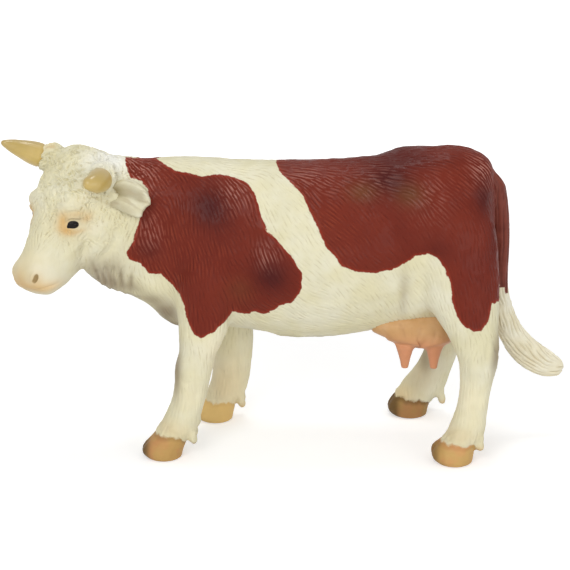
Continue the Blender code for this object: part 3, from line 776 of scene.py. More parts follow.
PAINT_SPOTS = {
    "white": (
        (None, ((112, 160, 4.6, 3.6, 0, 0.95), (96, 158, 4.0, 3.0, 0, 0.45))),
    ),
    # brighter cream painted light on the legs that stand in shade
    "painted_light": (
        (None, ((230, 388, 5.0, 12.0, 0, 1.00), (218, 350, 5.0, 5.0, 0, 0.60),
            (418, 372, 4.0, 4.0, 0, 0.40))),
        (NEAR_HIND, ((470, 405, 4.0, 6.0, 0, 0.35),)),
        (NEAR_FORE, ((192, 395, 3.0, 5.0, 0, 0.30),)),
    ),
    # light red painted highlights on the crest, shoulder and rump, and a painted highlight line
    # down the rump's edge beside the tail
    "painted_highlight": (
        (MIDDLE, ((138, 172, 5.0, 3.4, -40, 1.00), (236, 190, 3.2, 4.6, 20, 0.80),
            (482, 170, 3.2, 3.8, 0, 1.00), (310, 178, 8.0, 3.0, -10, 0.50),
            (375, 180, 5.0, 4.0, 0, 0.40), (150, 232, 3.0, 4.0, 0, 0.45),
            (430, 200, 5.0, 6.0, 0, 0.35), (267, 256, 2.8, 3.2, 20, 0.60))),
        (None, ((499, 202, 1.2, 9.0, 0, 1.00),)),
    ),
    # umber lid line and eye corner, and umber painted shade under the throat and brisket, in
    # folds, under the horn and along the shaded edges of legs and hocks
    "umber_lines_and_shade": (
        (MIDDLE, ((166, 312, 4.2, 3.2, 30, 0.95), (152, 300, 3.4, 2.4, 20, 0.60),
            (172, 324, 3.4, 3.4, 0, 0.97), (404, 292, 1.2, 7.0, 0, 0.40),
            (300, 338, 8.0, 0.9, 0, 0.30), (400, 338, 3.0, 3.0, 0, 0.35))),
        (None, ((104, 282, 5.0, 2.4, -28, 0.80), (112, 268, 3.5, 4.0, 20, 0.45),
            (128, 286, 4.0, 2.0, -12, 0.55), (92, 268, 3.0, 2.4, 0, 0.45),
            (416, 382, 3.0, 4.0, 0, 0.30), (117, 189, 1.5, 1.0, 0, 0.60),
            (112, 205, 1.8, 0.6, -20, 0.40), (96, 272, 0.5, 3.4, 14, 0.65),
            (103, 277, 0.4, 3.0, 12, 0.55), (109, 277, 0.5, 3.6, 10, 0.65),
            (115, 282, 0.4, 2.6, 6, 0.50), (121, 278, 0.5, 3.6, 4, 0.60),
            (131, 282, 0.5, 3.0, -6, 0.55), (108, 290, 4.0, 0.9, -22, 0.60),
            (130, 294, 4.0, 0.9, -14, 0.50), (410, 399, 3.4, 0.6, -12, 0.20))),
        (NEAR_FORE, ((176, 368, 1.3, 6.5, 0, 0.62),)),
        (NEAR_HIND, ((499, 352, 1.2, 5.0, -8, 0.65),)),
        (HEAD_MIDDLE, ((88, 256, 2.0, 4.0, 25, 0.10), (75, 219.0, 1.9, 0.30, -4, 0.60),
            (66, 230, 0.8, 0.5, 40, 0.50))),
        (FAR_HIND, ((426, 362, 1.8, 4.0, 0, 0.50),)),
    ),
    "peach": (
        (HEAD_MIDDLE, ((63, 222, 1.3, 2.2, 0, 0.84), (76, 214.5, 2.8, 0.9, 4, 0.42),
            (67, 231, 2.0, 1.0, -20, 0.88), (87, 218, 1.4, 1.0, 30, 0.55),
            (77, 232, 2.2, 0.6, 8, 0.45), (74, 224, 5.0, 3.6, 0, 0.22),
            (34, 288, 5.0, 1.6, 8, 0.70), (20, 280, 2.0, 2.6, 0, 0.34),
            (49, 288, 3.4, 1.2, 12, 0.45), (36, 280, 1.8, 1.8, 0, 0.40),
            (27, 272, 6.0, 5.0, 0, 0.12))),
        (None, ((50, 147, 1.2, 1.0, 0, 0.60), (220, 385, 5.0, 6.0, 0, 0.22),
            (400, 395, 4.0, 3.0, 0, 0.35))),
        (NEAR_FORE, ((170, 430, 5.0, 2.4, -12, 0.24), (193, 444, 1.2, 1.0, 0, 0.65))),
        (NEAR_HIND, ((458, 437, 5.0, 2.4, 0, 0.24), (480, 449, 1.2, 1.0, 0, 0.65))),
        (FAR_FORE, ((242, 406, 1.2, 1.0, 0, 0.65),)),
        (FAR_HIND, ((443, 402, 1.2, 1.0, 0, 0.65),)),
    ),
    "purple": (
        (MIDDLE, ((210, 208, 5.2, 6.4, 30, 0.98), (272, 277, 4.5, 4.5, 0, 0.92),
            (150, 250, 3.0, 3.0, 0, 0.45), (388, 178, 6.0, 4.8, 0, 0.97),
            (484, 197, 3.2, 5.2, 0, 0.86), (440, 250, 5.0, 3.0, 0, 0.35),
            (400, 160, 12.0, 1.6, 0, 0.55), (494, 230, 1.2, 8.0, 0, 0.45))),
    ),
    "olive": (
        (MIDDLE, ((362, 192, 3.4, 2.2, 0, 0.55), (410, 195, 3.4, 2.8, 0, 0.55),
            (240, 290, 3.4, 3.4, 0, 0.25))),
    ),
    "eye": (
        (HEAD_MIDDLE, ((*EYE, 1.42, 1.00, -6, 1.0), (69.0, 226.8, 0.60, 0.36, 28, 0.8))),
    ),
    "nostril": (
        (HEAD_MIDDLE, ((36.0, 277.8, 0.62, 1.05, -18, 1.0), (34.2, 281.2, 0.80, 0.55, 40, 0.8))),
    ),
}
# per-hoof shift of painted light and shade: below nought lighter, above darker
HOOF_LIGHT_AND_SHADE = {"left_foreleg": 0.10, "right_foreleg": -0.95, "left_hind_leg": -0.28,
              "right_hind_leg": 0.45}


def inside(places, outline):
    """Distance within an outline, in mm of the figure, and negative outside it."""
    corners = np.array(outline, dtype=float)
    best = np.full(len(places), 1e9)
    odd = np.zeros(len(places), dtype=bool)
    for one, other in zip(corners, np.roll(corners, -1, axis=0)):
        run = other - one
        share = np.clip(((places - one) @ run) / (run @ run), 0, 1)
        best = np.minimum(best, np.linalg.norm(places - one - share[:, None] * run, axis=1))
        crosses = (one[1] > places[:, 1]) != (other[1] > places[:, 1])
        if one[1] != other[1]:
            level = one[0] + (places[:, 1] - one[1]) * run[0] / run[1]
            odd ^= crosses & (places[:, 0] < level)
    return np.where(odd, best, -best) / 4.0


def dusted(points, groups):
    """Strength of soft sprayed spots: place, half sizes in mm, lean and strength."""
    total = np.zeros(len(points))
    for plane, spots in groups:
        for *oval, strength in spots:
            for place, ways, sizes in ovals(body_tree, *oval, plane):
                near = np.flatnonzero(np.abs(points - place).max(axis=1) < 2.6 * sizes.max())
                reach = (((points[near] - place) @ ways.T / sizes) ** 2).sum(axis=1)
                total[near] += (1 - total[near]) * strength * np.exp(-reach)
    return total


def layer(mesh, name, values):
    store = mesh.attributes.get(name) or mesh.attributes.new(name, "FLOAT", "POINT")
    store.data.foreach_set("value", values.astype(np.float32))


def mark_paints(mesh):
    """Writes where the paints go on a piece of the body."""
    points = points_of(mesh)
    cut, lip, marks = hair.at(points, STROKE_WIDTH)
    places = in_picture(points)
    over = in_picture(points * (1, -1, 1))
    near = np.maximum(inside(places, FRONT_PATCH), inside(places, REAR_PATCH))
    far = np.maximum(inside(over, FAR_FRONT_PATCH), inside(over, FAR_REAR_PATCH))
    share = eased(-2 * MM, 2 * MM, points[:, 1])
    patch = near * (1 - share) + far * share
    patch = np.where(points[:, 2] < 20 * MM, -9, patch)
    belly = eased(10 * MM, 7 * MM, np.abs(points[:, 1])) * eased(44 * MM, 36 * MM, points[:, 2])
    layer(mesh, "patch", patch - 7 * belly + 0.16 * hair_chance[marks])
    layer(mesh, "stroke", cut - 0.5 * lip + np.clip(-curls(points) / 0.55, 0, 0.7))
    for name, groups in PAINT_SPOTS.items():
        layer(mesh, name, dusted(points, groups))
    rise = above_coronet(points)
    layer(mesh, "coronet", np.clip(rise, -20, 20))
    # painted shade on the hooves: darker towards the toe and just under the rim, plus a per-hoof
    # shift
    tone = np.zeros(len(points))
    for leg, (toe_along, _) in TOES.items():
        hoof_shade = eased(3.8, 0.6, points[:, 0] / MM - toe_along) * 0.90
        hoof_shade += eased(-1.6, -0.2, rise) * 0.30
        mine = own_leg(points, leg)
        tone[mine] = np.clip(hoof_shade + HOOF_LIGHT_AND_SHADE[leg], -1, 1)[mine]
    layer(mesh, "hoof_light_and_shade", tone)


class Nodes:
    """Places and links the nodes of a material or of a node group."""

    def __init__(self, tree):
        self.tree = tree

    def add(self, kind, inputs=None, **settings):
        node = self.tree.nodes.new(kind)
        for name, value in settings.items():
            setattr(node, name, value)
        for name, value in (inputs or {}).items():
            self.set(node, name, value)
        return node

    def set(self, node, name, value):
        if isinstance(value, bpy.types.NodeSocket):
            self.tree.links.new(value, node.inputs[name])
        else:
            node.inputs[name].default_value = value

    def layer(self, name):
        return self.add("ShaderNodeAttribute", attribute_name=name).outputs["Fac"]

    def maths(self, operation, *values):
        node = self.add("ShaderNodeMath", operation=operation)
        for index, value in enumerate(values):
            self.set(node, index, value)
        return node.outputs[0]

    def between(self, value, low, high, to_low=0.0, to_high=1.0):
        node = self.add("ShaderNodeMapRange", {
            "Value": value, "From Min": low, "From Max": high, "To Min": to_low,
            "To Max": to_high}, interpolation_type="SMOOTHSTEP")
        return node.outputs[0]

    def blended(self, share, under, over):
        node = self.add("ShaderNodeMix", {0: share, 6: under, 7: over}, data_type="RGBA")
        return node.outputs[2]

    def grain(self, place, scale, detail=3.0, rough=0.6):
        return self.add("ShaderNodeTexNoise", {
            "Vector": place, "Scale": scale, "Detail": detail,
            "Roughness": rough}).outputs["Fac"]


def group(name, inputs, outputs):
    """A shader node group with named inputs and outputs, and its own nodes."""
    tree = bpy.data.node_groups.new(name, "ShaderNodeTree")
    for label, (kind, value) in inputs.items():
        socket = tree.interface.new_socket(label, in_out="INPUT",
                                           socket_type="NodeSocket" + kind)
        socket.default_value = value
    for label, kind in outputs.items():
        tree.interface.new_socket(label, in_out="OUTPUT", socket_type="NodeSocket" + kind)
    nodes = Nodes(tree)
    entry = tree.nodes.new("NodeGroupInput").outputs
    leave = tree.nodes.new("NodeGroupOutput")
    return tree, nodes, entry, leave


def placed(nodes, tree, inputs):
    """One use of a node group in a material."""
    return nodes.add("ShaderNodeGroup", inputs, node_tree=tree).outputs


def paint(name):
    """A material with a shader and the nodes to build on."""
    material = bpy.data.materials.new(name)
    material.use_nodes = True
    nodes = Nodes(material.node_tree)
    shader = material.node_tree.nodes["Principled BSDF"]
    place = nodes.add("ShaderNodeTexCoord").outputs["Object"]
    return material, nodes, shader, place


def rgb(red, green, blue):
    return (red, green, blue, 1.0)


CREAM = rgb(0.735, 0.685, 0.458)
WHITE_CREAM = rgb(0.775, 0.742, 0.570)
POLL_WHITE = rgb(0.860, 0.850, 0.780)
# a brighter cream, painted light on the shaded legs
PAINTED_LIGHT_CREAM = rgb(0.900, 0.800, 0.540)
CREAM_WASH = rgb(0.50, 0.42, 0.25)
RED_BROWN = rgb(0.149, 0.0185, 0.0092)
RED_CLOUD = rgb(0.205, 0.0300, 0.0140)
# lighter red on the lips of the strokes: worn paint and painted sheen together
WORN_AND_SHEEN_RED = rgb(0.270, 0.048, 0.022)
THIN_RED = rgb(0.290, 0.030, 0.013)
# light red of the painted highlights on the brown
HIGHLIGHT_RED = rgb(0.520, 0.240, 0.190)
BROWN_WASH = rgb(0.060, 0.009, 0.006)
# umber for the lid lines and for painted shade
UMBER_LINES_AND_SHADE = rgb(0.225, 0.158, 0.098)
PEACH = rgb(0.690, 0.435, 0.168)
PURPLE = rgb(0.045, 0.005, 0.006)
OLIVE = rgb(0.130, 0.070, 0.022)
HOOF_TAN = rgb(0.545, 0.335, 0.118)
HOOF_RUST = rgb(0.590, 0.300, 0.120)
# painted shade and painted light for the hooves
HOOF_SHADE = rgb(0.165, 0.095, 0.034)
HOOF_LIGHT = rgb(0.800, 0.550, 0.215)
NOSTRIL_BROWN = rgb(0.385, 0.270, 0.125)
EYE_BLACK = rgb(0.005, 0.003, 0.003)

# sprayed vinyl: uneven pigment, a dark wash left low in the strokes and a fine speckled grain
wash, nodes, entry, leave = group(
    "wash",
    {"Colour": ("Color", rgb(0.7, 0.65, 0.5)), "Wash": ("Color", rgb(0.3, 0.2, 0.1)),
     "Stroke": ("Float", 0.0), "Depth": ("Float", 0.4), "Mottle": ("Float", 0.1)},
    {"Colour": "Color", "Roughness": "Float", "Height": "Float"})
place = nodes.add("ShaderNodeTexCoord").outputs["Object"]
cloud = nodes.grain(place, 160.0, 4.0)
speck = nodes.grain(place, 2600.0, 2.0, 0.5)
hollow = nodes.maths("MULTIPLY", nodes.between(entry["Stroke"], 0.05, 0.9), entry["Depth"])
tone = nodes.blended(hollow, entry["Colour"], entry["Wash"])
lift = nodes.maths("MULTIPLY", nodes.maths("SUBTRACT", cloud, 0.5), entry["Mottle"])
shade = nodes.add("ShaderNodeHueSaturation", {
    "Color": tone, "Value": nodes.maths("MULTIPLY_ADD", lift, 2.0, 1.0)})
nodes.set(leave, "Colour", shade.outputs[0])
nodes.set(leave, "Roughness", nodes.maths(
    "MULTIPLY_ADD", hollow, 0.2, nodes.between(cloud, 0.35, 0.65, 0.40, 0.52)))
nodes.set(leave, "Height", nodes.maths("MULTIPLY", speck, 0.5))

# a base colour that clouds softly from one tone to another
clouds, nodes, entry, leave = group(
    "clouds",
    {"Under": ("Color", CREAM), "Over": ("Color", WHITE_CREAM), "Scale": ("Float", 150.0),
     "Roughness": ("Float", 0.6)},
    {"Colour": "Color", "Cloud": "Float"})
place = nodes.add("ShaderNodeTexCoord").outputs["Object"]
cloud = nodes.grain(place, entry["Scale"], 3.0, entry["Roughness"])
nodes.set(leave, "Cloud", cloud)
nodes.set(leave, "Colour", nodes.blended(
    nodes.between(cloud, 0.35, 0.70), entry["Under"], entry["Over"]))


def clouded(nodes, under, over, scale):
    """A base colour that clouds from one tone to another."""
    return placed(nodes, clouds, {"Under": under, "Over": over, "Scale": scale})["Colour"]


def varnished(nodes, shader, inputs, strength=0.4, distance=0.08, specular=0.22):
    """Lays the wash over a material's colour and feeds its shader from it."""
    finish = placed(nodes, wash, inputs)
    nodes.set(shader, "Base Color", finish["Colour"])
    nodes.set(shader, "Roughness", finish["Roughness"])
    bump = nodes.add("ShaderNodeBump", {"Strength": strength, "Distance": distance * MM,
                                        "Height": finish["Height"]})
    nodes.set(shader, "Normal", bump.outputs[0])
    shader.inputs["Specular IOR Level"].default_value = specular
    return finish


coat, nodes, shader, place = paint("cream_coat")
base = placed(nodes, clouds, {"Under": CREAM, "Over": WHITE_CREAM, "Scale": 90.0,
                              "Roughness": 0.55})
tone, cloud = base["Colour"], base["Cloud"]
# over the cream: white paint, brighter cream painted light, umber lid lines and painted shade,
# and peach paint
for name, most, colour in (("white", 1.0, POLL_WHITE), ("painted_light", 1.0, PAINTED_LIGHT_CREAM),
                           ("umber_lines_and_shade", 0.9, UMBER_LINES_AND_SHADE), ("peach", 1.0, PEACH)):
    tone = nodes.blended(nodes.maths("MULTIPLY", nodes.layer(name), most), tone, colour)
stroke = nodes.layer("stroke")
hair_edge = nodes.maths("MULTIPLY_ADD", nodes.maths(
    "SUBTRACT", nodes.grain(place, 1100.0, 2.0), 0.5), 0.5, nodes.layer("patch"))
patch = nodes.between(hair_edge, -0.10, 0.16)
brown = nodes.blended(nodes.between(cloud, 0.3, 0.7, 0.0, 0.45), RED_BROWN, RED_CLOUD)
# stroke lips lighter in chance patches: partly worn paint, partly painted sheen
wear_and_sheen = nodes.between(nodes.grain(place, 55.0, 2.0, 0.5), 0.40, 0.66)
ridge = nodes.maths("MULTIPLY", nodes.between(stroke, -0.04, -0.34, 0.0, 0.5), wear_and_sheen)
brown = nodes.blended(ridge, brown, WORN_AND_SHEEN_RED)
brown = nodes.blended(nodes.between(hair_edge, 0.95, 0.10, 0.0, 0.65), brown, THIN_RED)
for name, most, colour in (("purple", 0.85, PURPLE), ("olive", 0.75, OLIVE)):
    brown = nodes.blended(nodes.maths("MULTIPLY", nodes.layer(name), most), brown, colour)
# painted highlights: in these spots the lips of the strokes turn light red
highlight_streaks = nodes.maths("MULTIPLY", nodes.layer("painted_highlight"),
                      nodes.between(stroke, 0.02, -0.30, 0.0, 0.75))
tone = nodes.blended(patch, tone, nodes.blended(highlight_streaks, brown, HIGHLIGHT_RED))
ragged = nodes.maths("MULTIPLY_ADD", nodes.maths(
    "SUBTRACT", nodes.grain(place, 900.0), 0.5), 1.6, nodes.layer("coronet"))
# painted shade and light on the hooves
hoof_light_and_shade = nodes.layer("hoof_light_and_shade")
horny = nodes.blended(nodes.between(nodes.grain(place, 210.0, 2.0, 0.5), 0.40, 0.65),
                      HOOF_TAN, HOOF_RUST)
horny = nodes.blended(nodes.between(hoof_light_and_shade, 0.0, 1.0), horny, HOOF_SHADE)
horny = nodes.blended(nodes.between(hoof_light_and_shade, 0.0, -0.9), horny, HOOF_LIGHT)
tone = nodes.blended(nodes.between(ragged, 0.45, -0.45), tone, horny)
tone = nodes.blended(nodes.between(nodes.layer("nostril"), 0.30, 0.62), tone, NOSTRIL_BROWN)
finish = varnished(
    nodes, shader,
    {"Colour": tone, "Wash": nodes.blended(patch, CREAM_WASH, BROWN_WASH),
     "Stroke": stroke, "Depth": nodes.between(patch, 0.0, 1.0, 0.60, 0.50), "Mottle": 0.09},
    0.35, 0.06, 0.09)
eye = nodes.between(nodes.layer("eye"), 0.33, 0.42)
nodes.set(shader, "Base Color", nodes.blended(eye, finish["Colour"], EYE_BLACK))
nodes.set(shader, "Roughness", nodes.maths(
    "MULTIPLY", finish["Roughness"], nodes.between(eye, 0.0, 1.0, 1.0, 0.18)))
nodes.set(shader, "Coat Weight", nodes.maths(
    "MAXIMUM", nodes.between(eye, 0.0, 1.0, 0.02, 0.16),
    nodes.between(patch, 0.0, 1.0, 0.02, 0.055)))
shader.inputs["Coat Roughness"].default_value = 0.11

# Pieces of the body
# The one skin is cut where the real pieces are glued: at the neck, and at a level seam
# round each leg. Each piece stands for its own solid and is painted with the coat.
LEG_SEAM = 25.5 * MM
SPARE = 0.6 * MM
DOWN = (0.0, 0.0, -1.0)
UP = (0.0, 0.0, 1.0)
SHARP_EDGE = math.radians(70)


def cut_off(shape, place, way):
    """Cuts away what lies on the side that way points to, and closes the cut."""
    geometry = shape.verts[:] + shape.edges[:] + shape.faces[:]
    done = bmesh.ops.bisect_plane(shape, geom=geometry, plane_co=place, plane_no=way,
                                  clear_outer=True, dist=1e-7)
    rim = [e for e in done["geom_cut"] if isinstance(e, bmesh.types.BMEdge)]
    bmesh.ops.holes_fill(shape, edges=rim, sides=0)
    for edge in rim:
        edge.smooth = False
    bmesh.ops.triangulate(shape, faces=[f for f in shape.faces if len(f.verts) > 4])


def faces_kept(mesh, keep, name):
    """A mesh of those four-sided faces of another whose centres are kept."""
    points, corners = points_of(mesh), corners_of(mesh)
    corners = corners[keep(points[corners].mean(axis=1))]
    used, renumbered = np.unique(corners, return_inverse=True)
    return mesh_from(name, points[used], renumbered.reshape(-1, 4))


def set_in(name, mesh, node, material):
    """Sets a finished mesh in the frame, in the place of a solid."""
    mesh.polygons.foreach_set("use_smooth", [True] * len(mesh.polygons))
    mesh.materials.append(material)
    obj = added(name, mesh)
    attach(obj, "root")
    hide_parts(node)


def body_piece(node, keep, cuts, most_triangles):
    """Cuts one piece out of the body's skin, paints it and sets it in the frame."""
    name = "skin_" + node
    mesh = faces_kept(body, keep, name)
    shape = bmesh.new()
    shape.from_mesh(mesh)
    for place, way in cuts:
        cut_off(shape, Vector(place), Vector(way))
    shape.to_mesh(mesh)
    shape.free()
    triangles = sum(len(face.vertices) - 2 for face in mesh.polygons)
    if triangles > most_triangles:
        obj = added(name, mesh)
        thin = obj.modifiers.new("thin", "DECIMATE")
        thin.ratio = most_triangles / triangles
        mesh = applied(obj)
    mesh.set_sharp_from_angle(angle=SHARP_EDGE)
    mark_paints(mesh)
    set_in(name, mesh, node, coat)


def ahead_of_neck(places):
    return (places - SEAM_PLACE) @ SEAM_WAY


leg_seam = (0.0, 0.0, LEG_SEAM)
body_piece("trunk",
           lambda p: (p[:, 2] > LEG_SEAM - SPARE) & (ahead_of_neck(p) < SPARE),
           [(leg_seam, DOWN), (SEAM_PLACE, SEAM_WAY)], 198000)
body_piece("head",
           lambda p: (p[:, 2] > LEG_SEAM - SPARE) & (ahead_of_neck(p) > -SPARE),
           [(leg_seam, DOWN), (SEAM_PLACE, -SEAM_WAY)], 198000)
for leg in LEG_MIDDLES:
    body_piece(leg, lambda p: (p[:, 2] < LEG_SEAM + SPARE) & own_leg(p, leg),
               [(leg_seam, UP)], 70000)

# Horns
# Two short blunt horns are moulded apart, pressed on bosses of the skull and sprayed
# tan, darker towards the top.
HORN_TAN = rgb(0.580, 0.418, 0.118)
HORN_CLOUD = rgb(0.640, 0.465, 0.165)
HORN_DARK = rgb(0.370, 0.260, 0.075)
HORN_WASH = rgb(0.2, 0.12, 0.04)
PRESS = 0.12 * MM
SLIMMING = {"left": 0.25, "right": 1.0}


def small_skin(name, node, voxel, steps, seat_reach):
    """A finer skin over one small solid of the frame, seated on the body."""
    mesh = skin_over(name, (node,), 0.15 * MM, voxel)
    faired(mesh, steps)
    points = points_of(mesh)
    for index, point in enumerate(points):
        place, normal, _, gap = body_tree.find_nearest(Vector(point), seat_reach)
        if place is not None and (Vector(point) - place).dot(normal) > 0:
            hold = 1 - eased(0.35 * MM, seat_reach, gap)
            points[index] -= np.array(Vector(point) - place + normal * PRESS) * hold
    put_points(mesh, points)
    return mesh


horn_paint, nodes, shader, place = paint("tan_horn")
tone = nodes.blended(nodes.layer("tip"), clouded(nodes, HORN_TAN, HORN_CLOUD, 220.0),
                     HORN_DARK)
finish = varnished(nodes, shader, {"Colour": tone, "Wash": HORN_WASH, "Depth": 0.0,
                                   "Mottle": 0.08}, 0.3, 0.05, 0.5)
nodes.set(shader, "Roughness", nodes.maths("SUBTRACT", finish["Roughness"], 0.12))
shader.inputs["Coat Weight"].default_value = 0.3
shader.inputs["Coat Roughness"].default_value = 0.12
for hand in ("left", "right"):
    mesh = small_skin("tan_horn_" + hand, hand + "_horn", 0.16 * MM, 10, 0.9 * MM)
    points = points_of(mesh)
    reach = np.linalg.norm(points - HEAD_MIDDLE[0], axis=1)
    root = points[reach < reach.min() + 1.5 * MM].mean(axis=0)
    tip = points[reach > reach.max() - 0.3 * MM].mean(axis=0)
    run = tip - root
    share = (points - root) @ run / (run @ run)
    middle = root + share[:, None] * run
    slim = 0.20 * eased(0.15, 0.75, share) + 0.10 * eased(0.70, 1.0, share)
    slim *= SLIMMING[hand]
    put_points(mesh, points - (points - middle) * slim[:, None])
    tall = points_of(mesh)[:, 2]
    # each horn darker towards its top, by height
    layer(mesh, "tip", eased(0.35, 1.0, (tall - tall.min()) / np.ptp(tall)) * 0.6)
    set_in("tan_horn_" + hand, mesh, hand + "_horn", horn_paint)

# Ears
# Each is a cupped leaf moulded apart and glued behind a horn: a rolled upper rim, a
# furred hollow and a full lower lobe. Cream all over, with grey painted shade in the
# hollow and under the lower lobe, and a dark painted shadow of the horn at the root.
EAR_ROWS = (
    ((-1.2, 2.0, -0.8), (0.0, 2.3, 0.0), (2.7, 3.7, 0.5), (5.4, 3.7, 0.7), (8.1, 2.2, 0.7),
     (9.9, -0.3, 0.5), (10.2, -2.0, 0.2)),
    ((-1.2, 1.4, -0.6), (0.0, 1.5, 0.5), (2.7, 2.5, 1.2), (5.4, 2.4, 1.5), (7.8, 1.1, 1.5),
     (9.3, -0.8, 1.1), (9.8, -2.3, 0.5)),
    ((-1.2, 0.4, -0.9), (0.0, 0.5, -0.5), (2.7, 0.8, -0.2), (5.4, 0.5, -0.1),
     (7.3, -0.5, 0.0), (8.6, -1.6, 0.2), (9.3, -2.7, 0.3)),
    ((-1.2, -0.5, -1.1), (0.0, -0.5, -0.8), (2.5, -0.9, 0.2), (4.9, -1.5, 0.7),
     (6.8, -2.3, 0.9), (8.1, -2.9, 0.8), (8.9, -3.3, 0.5)),
    ((-1.0, -1.6, -1.5), (0.0, -1.6, -1.0), (2.3, -2.2, 0.1), (4.6, -3.2, 0.8),
     (6.4, -3.9, 1.0), (7.7, -4.3, 0.8), (8.4, -4.1, 0.4)),
    ((-0.8, -2.6, -1.9), (0.2, -2.6, -1.6), (2.2, -3.3, -0.9), (4.4, -4.4, -0.2),
     (6.1, -5.2, 0.1), (7.5, -5.5, 0.2), (8.4, -4.9, 0.2)),
)
EAR_PLACES = {"left": (-43.4, -10.2, 66.9), "right": (-57.4, 2.4, 67.6)}
EAR_ALONG = {"left": (1.0, 0.0, -0.03), "right": (-0.16, 0.98, 0.10)}
EAR_OUT = {"left": (-0.03, -0.83, 0.56), "right": (-0.90, -0.20, 0.40)}
EAR_CREAM = rgb(0.65, 0.60, 0.40)
EAR_CLOUD = rgb(0.72, 0.69, 0.52)
# grey painted shade for the ear's hollow and under its lower lobe
EAR_HOLLOW_SHADE = rgb(0.42, 0.37, 0.25)
# dark olive painted shadow of the horn on the ear's root
EAR_HORN_SHADOW = rgb(0.27, 0.21, 0.08)
EAR_WASH = rgb(0.45, 0.38, 0.24)
EAR_STEPS = 7
BACK_SHARE = 0.35
THICKNESS = 0.95


def ear_leaf(hand):
    """An ear's closed mesh, the places of its front face, their rows, and its axes."""
    front = curved(EAR_ROWS, EAR_STEPS)
    front = np.swapaxes(curved(np.swapaxes(front, 0, 1), EAR_STEPS), 0, 1)
    back = front.copy()
    back[..., 2] = front[..., 2] * BACK_SHARE - THICKNESS
    wide, long = front.shape[:2]
    ways = np.array((EAR_ALONG[hand], (0, 0, 0), EAR_OUT[hand]), dtype=float)
    ways[0] /= np.linalg.norm(ways[0])
    ways[2] -= (ways[2] @ ways[0]) * ways[0]
    ways[2] /= np.linalg.norm(ways[2])
    ways[1] = np.cross(ways[2], ways[0])
    if ways[1][2] < 0:
        ways[1] = -ways[1]
    points = np.concatenate((front.reshape(-1, 3), back.reshape(-1, 3)))
    points = (points @ ways + EAR_PLACES[hand]) * MM
    grid = np.arange(wide * long).reshape(wide, long)
    faces = np.stack((grid[:-1, :-1], grid[:-1, 1:], grid[1:, 1:], grid[1:, :-1]), axis=-1)
    faces = faces.reshape(-1, 4)
    rim = np.concatenate((grid[:, 0], grid[-1, 1:], grid[-2::-1, -1], grid[0, -2:0:-1]))
    after = np.roll(rim, -1)
    walls = np.stack((rim, after, after + grid.size, rim + grid.size), axis=1)
    mesh = mesh_from("leaf", points, np.concatenate(
        (faces, faces[:, (0, 3, 2, 1)] + grid.size, walls)))
    shape = bmesh.new()
    shape.from_mesh(mesh)
    bmesh.ops.recalc_face_normals(shape, faces=shape.faces)
    shape.to_mesh(mesh)
    shape.free()
    return mesh, points[:grid.size], (wide, long), ways


ear_paint, nodes, shader, place = paint("cream_ear")
tone = clouded(nodes, EAR_CREAM, EAR_CLOUD, 260.0)
# grey painted shade in the hollow, dark painted shadow of the horn at the root
for name, most, colour in (("hollow", 0.70, EAR_HOLLOW_SHADE), ("root", 0.95, EAR_HORN_SHADOW)):
    tone = nodes.blended(nodes.maths("MULTIPLY", nodes.layer(name), most), tone, colour)
varnished(nodes, shader, {"Colour": tone, "Wash": EAR_WASH, "Depth": 0.5,
                          "Stroke": nodes.layer("stroke"), "Mottle": 0.10})
for hand in ("left", "right"):
    leaf, front, (wide, long), ways = ear_leaf(hand)
    mesh = wrapped("cream_ear_" + hand, leaf, 0.15 * MM)
    faired(mesh, 9)
    points, normals = points_of(mesh), normals_of(mesh)
    nearest = point_tree(front)
    found = [nearest.find(p) for p in points]
    row = np.array([f[1] // long for f in found]) / (wide - 1)
    column = np.array([f[1] % long for f in found]) / (long - 1)
    facing = np.array([f[2] for f in found]) < 0.35 * MM
    # grey painted shade along the hollow and under the lower lobe
    hollow = np.exp(-((row - 0.40) / 0.13) ** 2) * eased(0.0, 0.12, column)
    hollow *= eased(0.95, 0.70, column)
    hollow += 0.45 * eased(0.60, 0.85, row) * eased(0.95, 0.40, column)
    local = (points / MM - EAR_PLACES[hand]) @ ways.T
    fur = np.array([noise.noise(Vector((u * 0.30, v * 1.5 + 0.5 * u, w * 0.6)))
                    for u, v, w in local])
    # the horn's painted shadow on the ear, strongest at the root
    root = np.exp(-((local[:, 0] - 1.2) / 2.3) ** 2 - ((local[:, 1] - 0.6) / 2.0) ** 2)
    put_points(mesh, points + normals * (0.055 * MM * fur)[:, None])
    layer(mesh, "hollow", hollow * facing)
    layer(mesh, "root", root * facing)
    layer(mesh, "stroke", np.clip(-fur * 1.6, 0, 1))
    set_in("cream_ear_" + hand, mesh, hand + "_ear", ear_paint)

